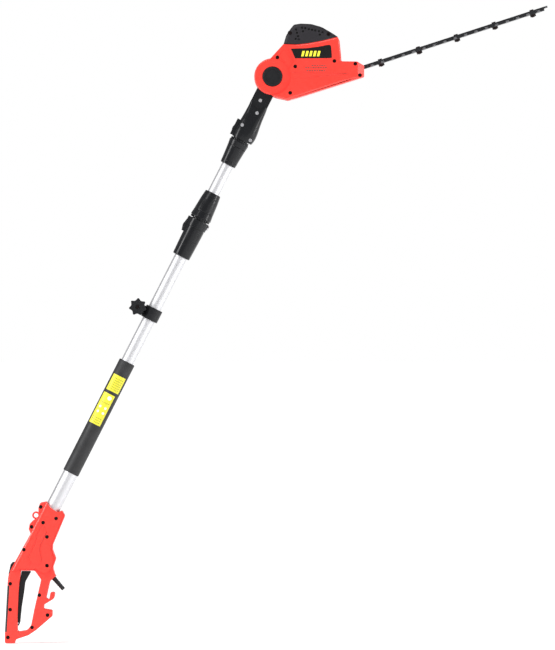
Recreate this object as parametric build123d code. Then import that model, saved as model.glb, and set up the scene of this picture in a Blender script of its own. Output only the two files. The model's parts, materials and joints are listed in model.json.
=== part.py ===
from build123d import *
from math import cos, pi, radians, sin, tan
import os

# Pole hedge trimmer: a closed rear handle, a telescopic pole with a lockable coupling,
# a tilting neck and a motor head that drives two toothed blades in opposite directions.
#
# Frame: millimetres. +Z is up, +X points from the handle towards the blade and +Y is the
# left of a person who holds it. The origin is the middle of the flat foot under the rear
# handle; the handle's outlines are drawn from the foot's front corner and moved on saving.
# "right" pieces lie at -Y and "left" pieces at +Y.

os.makedirs("parts", exist_ok=True)

# ---- pose of the pole and the blade --------------------------------------------------
pole_lean = 27.0            # pole from the vertical, towards the blade
pole_foot_x = -68.1         # x where the pole's axis meets the level of the foot
pivot_distance = 1397.5     # tilt pivot, along the pole's axis from the level of the foot
blade_rise = 18.0           # blade above the horizontal

foot_middle_x = -9.5        # middle of the foot, from its front corner

# ---- general clearances and walls ----------------------------------------------------
wall = 2.6                  # moulded housings
clearance = 0.4             # gap between pieces that move past each other
fit = 0.05                  # radial clearance of a pin in its bore
screw_radius = 1.5
screw_head_radius = 3.8
screw_head_height = 2.2
screw_recess_radius = 4.2
screw_recess_depth = 6.0
barrel_recess_depth = 5.0
screw_boss_radius = 5.6

# ---- rear handle ---------------------------------------------------------------------
grip_half_width = 17.5
barrel_half_width = 22.5
barrel_rounding = 11.0
band_height = 0.9           # raised band on the barrel's sides
edge_rounding = 2.0
pad_thickness = 4.5         # soft strip on the back of the grip
foot_pad_thickness = 3.0
eye_radius = 8.5            # ring that the handle hangs by
eye_bore_radius = 5.0
eye_half_width = 5.0
eye_x = 46.5
eye_z = 281.0
trigger_half_width = 7.5
trigger_pin_radius = 2.0
trigger_pin_x = 6.5
trigger_pin_z = 44.0
lock_half_width = 5.5
lock_travel = 3.0
lock_angle = -27.5          # direction that the lock-off button is pressed in, from +X
boot_length = 34.0          # strain relief outside the gland
boot_radius = 5.2
boot_tip_radius = 4.4
boot_bore_radius = 3.5      # passes a 7 mm cord
gland_x = 84.75
gland_z = 143.75
gland_angle = -49.0         # direction of the boot, from +X

# ---- pole tubes ----------------------------------------------------------------------
upper_tube_diameter = 26.0
upper_tube_wall = 1.25
slide_gap = 0.08            # radial gap of the telescopic tubes
middle_tube_wall = 0.92
seat_gap = 0.1              # radial gap of the fixed tube joint
handle_tube_wall = 2.4
handle_tube_start = 232.0
handle_tube_end = 688.0
middle_tube_start = 500.0
upper_tube_start = 545.0
grip_start = 420.0
grip_length = 274.0
grip_thickness = 1.8
label_thickness = 0.3

# ---- strap clamp ---------------------------------------------------------------------
clamp_centre = 812.5
clamp_height = 28.0
clamp_thickness = 5.0
clamp_gap = 7.0             # slot between the two ears
ear_thickness = 5.0
ear_height = 20.0
knob_offset = 34.0          # clamp bolt, from the pole's axis
knob_radius = 20.0
knob_thickness = 12.0
knob_lobes = 7
clamp_bolt_radius = 3.0

# ---- coupling ------------------------------------------------------------------------
coupling_start = 954.0
coupling_length = 89.0
coupling_wall = 7.0
collar_length = 19.0
nut_length = 66.0           # coupling lock nut
nut_tip_radius = 17.8
nut_base_radius = 24.0
nut_gap = 1.5               # seam between a nut and the piece below it
spigot_length = 40.0
nut_teeth = 24
latch_half_width = 7.0
latch_length = 34.0
latch_travel = 2.5
latch_floor = 1.6           # bottom of a latch's pocket, outside the middle tube

# ---- neck ----------------------------------------------------------------------------
neck_start = 1243.0
neck_nut_length = 61.0
neck_tip_radius = 17.6
neck_nut_radius = 22.4
tongue_half_width = 15.5
tongue_radius = 33.0
tongue_end_distance = 67.0  # from the pivot to where the neck gets thicker
neck_shift = 2.5            # the neck is fuller on the blade's side
ratchet_radius = 20.0
ratchet_teeth = 24
ratchet_thickness = 5.0
axle_radius = 4.0

# ---- head ----------------------------------------------------------------------------
head_half_width = 38.0
cheek_half_width = 34.0
boss_radius = 40.5
head_rounding = 3.5
body_rounding = 5.0
dome_rounding = 8.0
nose_half_width = 27.0
dome_half_width = 35.0
button_radius = 21.3
button_thickness = 6.5
well_depth = 12.0
badge_thickness = 1.6
vent_radius = 2.4

# ---- motor and gears, in the blade's own frame ---------------------------------------
motor_u = 98.0              # motor shaft, along the blade from the pivot
stator_radius = 28.0
stator_wall = 5.5
stator_low = -6.0
stator_length = 48.0
air_gap = 1.2
shaft_radius = 4.0
pinion_radius = 4.3
pinion_bore = 2.4
commutator_radius = 10.0
bearing_radius = 10.0
bearing_length = 7.0
fan_radius = 21.5
fan_blades = 9
gear_radius = 31.3
gear_gap = 0.4
gear_teeth = 63
pinion_teeth = 9
gear_thickness = 7.0
eccentric_offset = 6.0
eccentric_radius = 7.0
plate_thickness = 4.9

# ---- blades --------------------------------------------------------------------------
blade_plane = -43.9         # height of the joint between the two blades, below the pivot
nose_exit = 198.1           # where the blades leave the nose, along the blade
blade_length = 425.0        # from the nose to the tip of the guide bar
blade_thickness = 2.0
blade_gap = 0.2
bar_thickness = 4.0
bar_half_width = 8.5
blade_half_width = 12.5
tooth_pitch = 24.0
tooth_reach = 17.0
tooth_root = 13.0
tooth_tip = 6.0
first_bolt = 38.6
bolt_pitch = 87.6
bolt_count = 5
blade_bolt_radius = 3.0
bolt_head_radius = 4.6
nut_across = 11.0
blade_tip_gap = 9.0         # the blades stop this much before the bar's tip

# ---- worked out ----------------------------------------------------------------------
middle_bore = upper_tube_diameter / 2 + slide_gap
middle_radius = middle_bore + middle_tube_wall
handle_bore = middle_radius + seat_gap
handle_radius = handle_bore + handle_tube_wall
grip_radius = handle_radius + grip_thickness
grip_end = grip_start + grip_length
sleeve_radius = middle_radius + coupling_wall
collar_start = coupling_start + coupling_length - collar_length
coupling_end = coupling_start + coupling_length
middle_tube_end = coupling_end - 3.0
nut_start = coupling_end + nut_gap
neck_nut_end = neck_start - nut_gap
upper_tube_end = neck_start + 19.0
upper_radius = upper_tube_diameter / 2
spigot_radius = upper_radius + 4.0
gear_u = motor_u + gear_radius + pinion_radius + gear_gap
bar_low = blade_plane + blade_gap / 2 + blade_thickness + blade_gap
case_low = bar_low + bar_thickness
gear_low = case_low + plate_thickness + 1.5
bracket_low = gear_low + gear_thickness + 1.5
bearing_low = stator_low + stator_length + 15.0
fan_low = bearing_low + bearing_length + 2.0
case_half_width = head_half_width - wall - 0.4
band_radius = middle_radius + clearance + clamp_thickness
knob_reach = knob_offset - knob_radius - 1.2
knob_standoff = (band_radius ** 2 - knob_reach ** 2) ** 0.5 + clearance
pin_half = grip_half_width - wall - 1.5
window_half = eccentric_offset + eccentric_radius + clearance + 0.3
window_reach = window_half + eccentric_offset
bar_tip = nose_exit + blade_length

POLE = Plane(
    origin=(pole_foot_x, 0, 0),
    x_dir=(cos(radians(pole_lean)), 0, -sin(radians(pole_lean))),
    z_dir=(sin(radians(pole_lean)), 0, cos(radians(pole_lean))),
)
pivot_x = pole_foot_x + pivot_distance * sin(radians(pole_lean))
pivot_z = pivot_distance * cos(radians(pole_lean))
HEAD = Pos(pivot_x, 0, pivot_z)
BLADE = Plane(
    origin=(0, 0, 0),
    x_dir=(cos(radians(blade_rise)), 0, sin(radians(blade_rise))),
    z_dir=(-sin(radians(blade_rise)), 0, cos(radians(blade_rise))),
)
FLOOR = (Align.CENTER, Align.CENTER, Align.MIN)


# ---- drawing helpers -----------------------------------------------------------------
def outline(corners):
    """Closed flat face in the XZ plane from (x, z) or (x, z, rounding) corners."""
    points = [Vector(corner[0], 0, corner[1]) for corner in corners]
    entries = []
    exits = []
    edges = []
    for index, point in enumerate(points):
        back = points[index - 1] - point
        ahead = points[(index + 1) % len(points)] - point
        half = radians(back.get_angle(ahead) / 2)
        wanted = corners[index][2] / tan(half) if len(corners[index]) > 2 else 0
        reach = min(wanted, 0.49 * back.length, 0.49 * ahead.length)
        entries.append(point + back.normalized() * reach)
        exits.append(point + ahead.normalized() * reach)
        if reach > 0.01:
            inward = (back.normalized() + ahead.normalized()).normalized()
            rise = reach * tan(half) * (1 / sin(half) - 1)
            edges.append(ThreePointArc(entries[-1], point + inward * rise, exits[-1]))
    for index, leave in enumerate(exits):
        enter = entries[(index + 1) % len(points)]
        if (enter - leave).length > 0.001:
            edges.append(Line(leave, enter))
    return make_face(edges)


def slab(face, low, high):
    """The face pulled out from y = low to y = high."""
    return extrude(Pos(0, low, 0) * face, amount=high - low, dir=(0, 1, 0))


def rod(x, z, radius, low, high):
    """A round bar along Y."""
    return Pos(x, low, z) * Rot(-90, 0, 0) * Cylinder(radius, high - low, align=FLOOR)


def turned(corners):
    """A solid of revolution about Z from (radius, height) corners."""
    return revolve(outline(corners), Axis.Z)


def post(x, y, radius, low, high):
    """A round bar along Z."""
    return Pos(x, y, low) * Cylinder(radius, high - low, align=FLOOR)


def pipe(outer, inner, low, high):
    """A round tube along Z."""
    return post(0, 0, outer, low, high) - post(0, 0, inner, low - 1, high + 1)


def block(x_low, x_high, y_low, y_high, z_low, z_high):
    """A box from its limits."""
    size = (x_high - x_low, y_high - y_low, z_high - z_low)
    return Pos(x_low, y_low, z_low) * Box(*size, align=(Align.MIN, Align.MIN, Align.MIN))


def coil(radius, wire, length, turns):
    """A compression spring along Z from the origin."""
    path = Helix(pitch=length / turns, height=length, radius=radius)
    section = Plane(path @ 0, z_dir=path % 0) * Circle(wire)
    return sweep(section, path=path)


def screw(x, z, head_y, length):
    """A pan head screw that enters from -Y; head_y is the outer face of its head."""
    head = rod(x, z, screw_head_radius, head_y, head_y + screw_head_height)
    cross = block(x - 2, x + 2, head_y - 1, head_y + 1, z - 0.45, z + 0.45)
    cross += block(x - 0.45, x + 0.45, head_y - 1, head_y + 1, z - 2, z + 2)
    shank = rod(x, z, screw_radius, head_y + screw_head_height, head_y + length)
    return head - cross + shank


def save(node, solids):
    """Writes one node: one solid, or a group of separate solids."""
    pieces = []
    for item in solids if isinstance(solids, list) else [solids]:
        pieces.extend(item.solids())
    pieces = [Pos(-foot_middle_x, 0, 0) * piece for piece in pieces]
    shape = pieces[0] if len(pieces) == 1 else Compound(children=pieces)
    export_step(shape, f"parts/{node}.step")


# ---- rear handle ---------------------------------------------------------------------
handle_corners = [
    (-22, 0, 4), (-21.6, 27, 30), (-16, 127, 60), (-14.5, 148, 25), (0, 178, 20),
    (35, 241, 3), (30.5, 251, 5), (33, 263, 6), (41, 271, 3), (52.0, 276, 2),
    (52.0, 298, 5), (56, 309, 5), (70, 311.5, 2), (77, 300, 10), (90, 290, 8),
    (97, 289, 2), (104, 292, 3), (110.5, 280, 5), (84, 217, 8), (83.5, 206, 10),
    (91, 186, 9), (85, 169, 5), (85, 163, 1.5), (89.6, 148.2, 1), (80, 139.4, 1),
    (77.5, 135, 3), (69.6, 100, 2.4), (75.6, 95.5, 2.4), (78.6, 111.8, 2.5), (89.2, 113.4, 4),
    (87, 98.5, 10), (64.5, 85, 5), (64.5, 76, 1.2), (83, 73, 4), (83, 60, 4),
    (47, 29, 20), (30, 17.5, 15), (3, 8.5, 3), (0, 0, 2),
]
opening_corners = [
    (7, 25.5, 3), (6, 60, 20), (9, 125, 20), (14, 159.5, 2), (44, 159.5, 6),
    (58, 140, 5), (43, 75, 20), (36, 40, 12), (27, 28.5, 12),
]
barrel_corners = [
    (-12, 158), (-1, 176), (36, 243), (62, 296), (70, 311.5, 2), (77, 300, 10),
    (90, 290, 8), (97, 289), (103, 289, 3), (106, 280, 5), (79, 214, 8), (79, 206, 10),
    (85, 186, 9), (80, 165, 3), (66, 152, 5), (46, 164, 3), (12, 164, 3),
]
trigger_corners = [
    (8.5, 37.5, 2), (12, 47, 4), (15.2, 80, 30), (20.2, 112, 30), (23, 135, 20),
    (35.5, 157, 2), (33, 158.4, 1), (15, 158.4, 1.5), (10.5, 135, 20), (5.5, 80, 30), (3, 41, 3),
]
handle_screws = [
    (-10, 131), (-10, 74), (-15, 13), (38, 35), (72, 62), (54, 106),
    (71, 171), (20, 206), (37, 256), (57, 300), (62.5, 265.5), (91, 274.5), (71, 234),
]
barrel_screws = [(62.5, 265.5), (91, 274.5), (71, 234)]
raised_band_corners = [
    (60, 262, 3), (50, 240, 8), (45, 220, 8), (28, 187, 5), (36, 176, 4), (56, 175, 3), (59, 184, 8),
    (54, 206, 8), (56, 216, 6), (70, 246, 5),
]


def pad_region():
    """Strip along the back of the grip that the soft pad fills."""
    return outline([(-30, 25), (-30, 127), (-16 + pad_thickness, 127), (-22 + pad_thickness, 25)])


def pole_prism(radius_gap):
    """Long rounded bar along the pole that gives the barrel its rounded flanks."""
    left = -20.8 + radius_gap
    half = barrel_half_width - radius_gap
    section = Pos((left + 70) / 2, 0) * RectangleRounded(70 - left, 2 * half, barrel_rounding - radius_gap)
    return POLE * (Pos(0, 0, 130) * extrude(section, amount=230))


def grip_prism(radius_gap):
    """Long rounded bar along the grip that gives the hand a rounded back."""
    half = grip_half_width - radius_gap
    section = Pos(18 + radius_gap / 2, 0) * RectangleRounded(84 - radius_gap, 2 * half, 9 - radius_gap)
    return Rot(0, 3.2, 0) * Pos(-0.9, 0, -10) * extrude(section, amount=210)


def handle_solid():
    """Both halves of the handle as one solid body without its hollows."""
    profile = outline(handle_corners) - outline(opening_corners)
    loop = slab(profile, -grip_half_width, grip_half_width)
    rims = loop.edges().group_by(Axis.Y)
    loop = fillet(rims[0] + rims[-1], edge_rounding)
    grip_region = block(-40, 12, -40, 40, 22, 178)
    loop = (loop - grip_region) + (loop & grip_region & grip_prism(0))
    barrel = slab(outline(barrel_corners), -barrel_half_width, barrel_half_width) & pole_prism(0)
    reach = barrel_half_width + band_height
    band = slab(outline(raised_band_corners), -reach, reach)
    eye = rod(eye_x, eye_z, eye_radius, -eye_half_width, eye_half_width)
    socket = gland_frame() * post(0, 0, boot_radius + 3, -16, 0.8)
    return loop + barrel + band + eye + socket


def handle_hollow():
    """Space inside the handle: the switch well in the grip and the barrel's bore."""
    column = outline([
        (-22 + pad_thickness + wall, 30, 3), (-16 + pad_thickness + wall, 128, 8),
        (-9, 150, 8), (8, 182, 6), (40, 240, 6), (78, 222, 5), (76, 180, 8), (72, 163, 6),
        (40, 164, 3), (11, 164, 3), (8.5 - wall, 125, 20), (6 - wall, 60, 20), (6 - wall, 30, 3),
    ])
    inner = grip_half_width - wall
    room = slab(column, -inner, inner) & (grip_prism(wall) + block(10, 120, -40, 40, 150, 300))
    return room


def lock_press_move(share):
    """Where the lock-off button goes when it is pressed a share of its way in."""
    angle = radians(lock_angle)
    return Pos(share * lock_travel * cos(angle), 0, share * lock_travel * sin(angle))


def lock_corners(grow):
    """Outline of the lock-off button, grown for its slot."""
    return [
        (-14.2 - grow, 150.5 - grow, 0.6), (-9.5 - grow, 173 + grow, 2.5), (-5.5, 178 + grow, 2),
        (4 + grow, 179 + grow, 1), (4 + 2 * grow, 170, 1), (-5 + grow, 150.5 - grow, 1),
    ]


def rear_shell():
    """The hollow handle before it is split into its two moulded halves."""
    shell = handle_solid() - handle_hollow()
    core = handle_core()
    for x, z in handle_screws:
        depth = screw_depth(x, z)
        shell += rod(x, z, screw_boss_radius, wall - depth, depth - wall) & core
    shell -= rod(eye_x, eye_z, eye_bore_radius, -eye_half_width - 1, eye_half_width + 1)
    shell -= slab(pad_region(), -30, 30)
    shell -= foot_pad_space()
    slot_half = trigger_half_width + clearance
    shell -= slab(outline(trigger_slot_corners()), -slot_half, slot_half)
    slot_half = lock_half_width + clearance
    slot = slab(outline(lock_corners(clearance)), -slot_half, slot_half)
    for share in (0, 1 / 3, 2 / 3, 1):
        shell -= lock_press_move(share) * slot
    shell -= gland_bore()
    shell -= cord_clamp_pocket()
    for x, z in handle_screws:
        depth = screw_depth(x, z)
        shell -= rod(x, z, screw_radius, -depth, depth - 3)
        shell -= rod(x, z, screw_recess_radius, -depth - 5, screw_recess(x, z) - depth)
    shell -= POLE * post(0, 0, handle_radius, handle_tube_start, 400)
    shell -= rod(trigger_pin_x, trigger_pin_z, trigger_pin_radius, -pin_half, pin_half)
    return shell


def screw_depth(x, z):
    """Half the thickness of the handle at a screw."""
    return barrel_half_width if (x, z) in barrel_screws else grip_half_width


def screw_recess(x, z):
    """How deep a screw of the handle sits; the barrel's screws stop short of the tube."""
    return barrel_recess_depth if (x, z) in barrel_screws else screw_recess_depth


def handle_core():
    """Silhouette of the handle, used to trim the screw bosses."""
    profile = outline(handle_corners) - outline(opening_corners)
    return slab(profile, -grip_half_width, grip_half_width)


def trigger_slot_corners():
    """Opening in the grip that the trigger moves through."""
    gap = clearance + 0.3
    return [
        (8.5, 37.5 - gap - 1, 1), (12, 47), (20.2, 112), (35.5, 159.4),
        (8, 161, 1), (4 - gap, 135, 10), (0 - gap, 80, 20), (0 - gap, 36.5 - gap, 1),
    ]


def foot_pad_space():
    """Room for the rubber foot."""
    return block(-17, -2, -12, 12, -1, foot_pad_thickness)


def gland_frame():
    """Frame at the gland: Z along the boot, pointing out."""
    angle = radians(gland_angle)
    return Plane(origin=(gland_x, 0, gland_z), x_dir=(0, 1, 0), z_dir=(cos(angle), 0, sin(angle)))


def gland_bore():
    """Hole and collar groove for the strain relief boot."""
    groove = post(0, 0, boot_radius + 1.5, -9, -4)
    return gland_frame() * (post(0, 0, boot_radius, -14, 3) + groove)


def cord_clamp_pocket():
    """Room for the cord clamp inside the handle."""
    return block(58, 74, -8, 8, 152, 163)


def back_grip_pad():
    """Soft strip in the back of the grip."""
    strip = slab(pad_region(), -30, 30) & handle_core() & grip_prism(0)
    return strip - slab(outline(lock_corners(clearance)), -30, 30)


def foot_pad():
    """Rubber foot, level with the bottom of the handle."""
    return foot_pad_space() & block(-40, 40, -40, 40, 0, foot_pad_thickness)


def trigger():
    """Long paddle switch lever, hinged at its lower end."""
    paddle = slab(outline(trigger_corners), -trigger_half_width, trigger_half_width)
    rims = paddle.edges().group_by(Axis.Y)
    paddle = fillet(rims[0] + rims[-1], 1.0)
    return paddle - rod(trigger_pin_x, trigger_pin_z, trigger_pin_radius + fit, -20, 20)


def power_switch():
    """Switch box inside the grip with its short plunger facing the trigger."""
    box = block(-8.3, 0.6, -6, 6, 100, 123)
    return box + Pos(0.6, 0, 112) * Rot(0, 90, 0) * Cylinder(2, 3.4, align=FLOOR)


def trigger_spring():
    """Spring behind the trigger."""
    return Pos(-8.0, 0, 92) * Rot(0, 90, 0) * coil(3, 0.45, 12.6, 6)


def lock_off_button():
    """Safety wedge under the thumb."""
    wedge = slab(outline(lock_corners(0)), -lock_half_width, lock_half_width)
    return wedge & block(-20, 2.5, -20, 20, 140, 200)


def lock_off_spring():
    """Spring behind the safety wedge."""
    return Pos(3.2, 0, 165) * Rot(0, 90, 0) * coil(2.6, 0.4, 6, 4)


def strain_relief_boot():
    """Tapered rubber sleeve that the cord leaves the handle through."""
    collar = post(0, 0, boot_radius + 1.3, -8.8, -4.2)
    neck = post(0, 0, boot_radius, -13, 0)
    taper = turned([
        (0, 0), (boot_radius, 0), (boot_tip_radius, boot_length, 1.2), (0, boot_length),
    ])
    boot = neck + collar + taper
    for index in range(5):
        height = 7 + 4.6 * index
        radius = boot_radius - (boot_radius - boot_tip_radius) * height / boot_length
        boot -= pipe(radius + 2, radius - 0.5, height, height + 1.6)
    boot -= post(0, 0, boot_bore_radius, boot_length - 30, boot_length + 1)
    return gland_frame() * boot


def cord_clamp():
    """Bar that holds the cord inside the handle, with its two screws."""
    bar = block(60, 72, -7, 7, 154, 157)
    holes = post(66, -4.5, 1.3, 150, 160) + post(66, 4.5, 1.3, 150, 160)
    screws = [post(66, y, 1.3, 153, 158) + post(66, y, 2.2, 157, 159) for y in (-4.5, 4.5)]
    return [bar - holes] + screws


def handle_screw_set():
    """All the screws of the handle, in one group."""
    screws = []
    for x, z in handle_screws:
        depth = screw_depth(x, z)
        length = 2 * depth - 12
        if (x, z) in barrel_screws:
            length = depth - handle_radius - barrel_recess_depth + screw_head_height - 0.5
        screws.append(screw(x, z, screw_recess(x, z) - screw_head_height - depth, length))
    return screws


# ---- pole ----------------------------------------------------------------------------
def tube(outer, inner, low, high):
    """A drawn tube on the pole's axis."""
    return POLE * pipe(outer, inner, low, high)


def grip_sleeve():
    """Soft sleeve over the handle tube, closed down to the middle tube at its top."""
    lip = turned([
        (middle_radius + 0.05, handle_tube_end), (grip_radius, handle_tube_end),
        (grip_radius, grip_end, 2.0), (middle_radius + 0.05, grip_end, 0.8),
    ])
    sleeve = turned([
        (handle_radius, grip_start, 0.5), (grip_radius, grip_start, 1.2),
        (grip_radius, handle_tube_end), (handle_radius, handle_tube_end),
    ])
    return POLE * (sleeve + lip)


def grip_labels():
    """Two plain curved plates on the right side of the sleeve."""
    skin = pipe(grip_radius + label_thickness, grip_radius, grip_start, grip_end)
    upper = block(-14.5, 14.5, -30, 0, 621, 659)
    lower = block(-15.5, 11, -30, 0, 540, 614)
    return [POLE * (skin & upper), POLE * (skin & lower)]


def strap_clamp_band():
    """Split ring round the middle tube with two ears for the clamp bolt."""
    outer = middle_radius + clearance + clamp_thickness
    low = clamp_centre - clamp_height / 2
    high = clamp_centre + clamp_height / 2
    ring = turned([
        (middle_radius + clearance, low, 0.6), (outer, low, 1.5),
        (outer, high, 1.5), (middle_radius + clearance, high, 0.6),
    ])
    ear_low = clamp_centre - ear_height / 2
    ear_high = clamp_centre + ear_height / 2
    ear_outer = clamp_gap / 2 + ear_thickness
    ears = block(-knob_offset, -middle_radius - 1, -ear_outer, ear_outer, ear_low, ear_high)
    ears += rod(-knob_offset, clamp_centre, ear_height / 2, -ear_outer, ear_outer)
    band = ring + (ears - post(0, 0, middle_radius + clearance + 1, low, high))
    band -= block(-80, -5, -clamp_gap / 2, clamp_gap / 2, low - 1, high + 1)
    band -= rod(-knob_offset, clamp_centre, clamp_bolt_radius, -20, 20)
    return POLE * band


def strap_clamp_bolt():
    """Bolt through the ears; the knob turns on its near end."""
    ear_outer = clamp_gap / 2 + ear_thickness
    bolt = rod(-knob_offset, clamp_centre, clamp_bolt_radius, 5 - knob_standoff - knob_thickness, ear_outer)
    head = Pos(-knob_offset, ear_outer, clamp_centre) * Rot(-90, 0, 0) * extrude(
        RegularPolygon(5.2, 6), amount=3.6)
    return POLE * (bolt + head)


def strap_clamp_knob():
    """Star knob on the near side of the ears."""
    corners = []
    for index in range(2 * knob_lobes):
        angle = pi * (index + 0.4) / knob_lobes
        tip = index % 2 == 0
        radius = knob_radius + 0.8 if tip else knob_radius * 0.72
        rounding = 2.4 if tip else 6.0
        corners.append((
            radius * cos(angle) - knob_offset, radius * sin(angle) + clamp_centre, rounding))
    near = -knob_standoff
    star = slab(outline(corners), near - knob_thickness, near)
    rims = star.edges().group_by(Axis.Y)
    star = fillet(rims[0], 1.4)
    star += rod(-knob_offset, clamp_centre, 8, near, -clamp_gap / 2 - ear_thickness - clearance)
    star -= rod(-knob_offset, clamp_centre, clamp_bolt_radius + fit, -60, 60)
    star -= rod(-knob_offset, clamp_centre, 5.4, near - knob_thickness - 1, near - knob_thickness + 4)
    return POLE * star


# ---- coupling ------------------------------------------------------------------------
def latch_block(grow, base, depth):
    """Rounded block on the blade-away side for a latch button or its pocket."""
    half = latch_half_width + grow
    return block(-depth - grow, -base + grow, -half, half, -grow, latch_length + grow)


def coupling_sleeve():
    """Moulded sleeve fixed on the middle tube, with the spigot that the lock nut closes on."""
    collar_radius = sleeve_radius + 2.0
    body = turned([
        (middle_radius, coupling_start, 0.8), (sleeve_radius - 1.2, coupling_start, 2.5),
        (sleeve_radius, coupling_start + 40), (sleeve_radius + 0.5, collar_start - 1.5),
        (sleeve_radius - 0.4, collar_start - 1.5), (sleeve_radius - 0.4, collar_start),
        (collar_radius, collar_start, 1), (collar_radius, coupling_end, 1),
        (spigot_radius, coupling_end), (spigot_radius, coupling_end + spigot_length, 1),
        (upper_radius + clearance, coupling_end + spigot_length),
        (upper_radius + clearance, middle_tube_end), (middle_radius, middle_tube_end),
    ])
    housing = latch_block(1.8, middle_radius + 1, sleeve_radius + 3)
    housing = fillet(housing.edges().filter_by(Axis.Z), 2.0)
    housing = Pos(0, 0, coupling_end - latch_length) * housing
    housing -= post(0, 0, middle_radius + 1, coupling_start, coupling_end + 50)
    body += housing & block(-60, 60, -60, 60, coupling_start, coupling_end)
    pocket = latch_block(clearance, middle_radius + latch_floor + clearance, sleeve_radius + 20)
    body -= Pos(0, 0, coupling_end - latch_length - 1.5) * pocket
    seat = Pos(sleeve_radius - 3, 0, coupling_end - 7) * Rot(0, 90, 0)
    boss = seat * Cylinder(6.2, 5.5, align=FLOOR)
    body += boss & block(-60, 60, -60, 60, coupling_start, coupling_end)
    body -= seat * Cylinder(2.0, 20, align=FLOOR)
    body -= seat * Pos(0, 0, 4.5) * Cylinder(5.2, 20, align=FLOOR)
    return POLE * body


def coupling_screw():
    """Cap screw in the collar, on the blade's side."""
    seat = Pos(sleeve_radius - 3, 0, coupling_end - 7) * Rot(0, 90, 0)
    head = Pos(0, 0, 4.5) * Cylinder(4.9, 3.4, align=FLOOR)
    socket = Pos(0, 0, 6.2) * extrude(RegularPolygon(2.6, 6), amount=4)
    shank = Cylinder(2.0, 4.5, align=FLOOR)
    return POLE * (seat * (head + shank - socket))


def latch_button(depth, start):
    """Ribbed press button of a latch, at a height along the pole."""
    back = -middle_radius - latch_floor - latch_travel - clearance
    button = outline([
        (-depth + 3.5, 0, 2), (back, 0), (back, latch_length),
        (-depth + 4.5, latch_length, 2), (-depth, latch_length * 0.38, 12),
    ])
    button = slab(button, -latch_half_width, latch_half_width)
    for index in range(5):
        height = latch_length * 0.24 + 3 * index
        button -= block(-depth - 1, -depth + 1.1, -latch_half_width + 1.5, latch_half_width - 1.5,
                        height, height + 1.2)
    return POLE * (Pos(0, 0, start) * button)


def latch_spring(start):
    """Spring under a latch button."""
    middle = start + latch_length / 2
    place = Pos(-middle_radius - 2.0, 0, middle) * Rot(0, -90, 0)
    return POLE * (place * coil(2.6, 0.35, 2.0, 3))


def lock_nut(base_radius, tip_radius, length, bore):
    """Tapered lock nut along Z with its toothed base at the origin."""
    skirt = upper_radius + 4.0 + clearance
    nut = turned([
        (skirt, 0), (base_radius - 1.4, 0, 0.6), (base_radius - 1.4, 4.5), (base_radius, 5.5, 0.6),
        (base_radius - 1.5, length * 0.28), (base_radius - 2.2, length * 0.29),
        (base_radius - 1.7, length * 0.31), (base_radius - 3.6, length * 0.7, 60),
        (tip_radius, length, 2.5), (bore, length, 0.8), (bore, length - 9),
        (skirt, length - 15),
    ])
    for index in range(nut_teeth):
        notch = block(base_radius - 3, base_radius + 2, -1.3, 1.3, -1, 3.4)
        nut -= Rot(0, 0, 360 / nut_teeth * index) * notch
    return nut


def grip_marks(radius, low, high):
    """Four raised finger marks on a lock nut."""
    marks = None
    for index in range(4):
        mark = block(radius - 4, radius + 0.5, -4, 4, low, high)
        mark = fillet(mark.edges().filter_by(Axis.X), 1.2)
        mark = Rot(0, 0, 90 * index - 60) * mark
        marks = mark if marks is None else marks + mark
    return marks


def coupling_lock_nut():
    """Nut that closes the collet on the upper tube."""
    nut = lock_nut(nut_base_radius, nut_tip_radius, nut_length, upper_radius + clearance)
    marks = grip_marks(nut_tip_radius + 1.2, nut_length - 21, nut_length - 12)
    nut += marks - post(0, 0, nut_tip_radius - 1, 0, nut_length)
    return POLE * (Pos(0, 0, nut_start) * nut)


def collet(low, direction):
    """Split clamping ring at the end of a spigot."""
    ring = turned([
        (upper_radius + clearance, 0), (spigot_radius - 0.6, 0),
        (spigot_radius - 0.6, 4), (upper_radius + 1.4, 9), (upper_radius + clearance, 9),
    ])
    ring -= block(0, 40, -1.2, 1.2, -1, 20)
    if direction < 0:
        ring = Rot(180, 0, 0) * ring
    return POLE * (Pos(0, 0, low) * ring)


# ---- neck ----------------------------------------------------------------------------
tongue_end = pivot_distance - tongue_end_distance
neck_screws = [(0, 1339), (6, 1311), (-11, 1273), (20, 1251)]


def neck_solid():
    """The neck as one body: a flat tongue round the pivot that swells to a round socket."""
    tongue = slab(outline([
        (-18.5, tongue_end - 6), (-18.5, pivot_distance), (21, pivot_distance), (21, tongue_end - 6),
    ]), -tongue_half_width, tongue_half_width)
    tongue += rod(0, pivot_distance, tongue_radius, -tongue_half_width, tongue_half_width)
    levels = [
        (neck_shift + 0.2, 46.5, 44, 20, neck_start),
        (neck_shift + 1.3, 50, 45, 20, neck_start + 14),
        (neck_shift + 0.8, 47, 43, 17, neck_start + 36),
        (neck_shift, 42, 38, 11, tongue_end - 22),
        (neck_shift - 1.2, 39.6, 34, 6, tongue_end),
    ]
    sections = [
        Pos(shift, 0, height) * RectangleRounded(width, depth, rounding)
        for shift, width, depth, rounding, height in levels
    ]
    body = loft(sections)
    recess = outline([
        (-11.5, tongue_end + 20), (-11.5, tongue_end - 1), (-7, tongue_end - 9), (0, tongue_end - 14),
        (8, tongue_end - 9), (14, tongue_end - 1), (14, tongue_end + 20),
    ])
    body -= slab(recess, -40, -tongue_half_width) + slab(recess, tongue_half_width, 40)
    spigot = post(0, 0, spigot_radius, neck_start - spigot_length + 2, neck_start)
    return tongue + body + spigot


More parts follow.
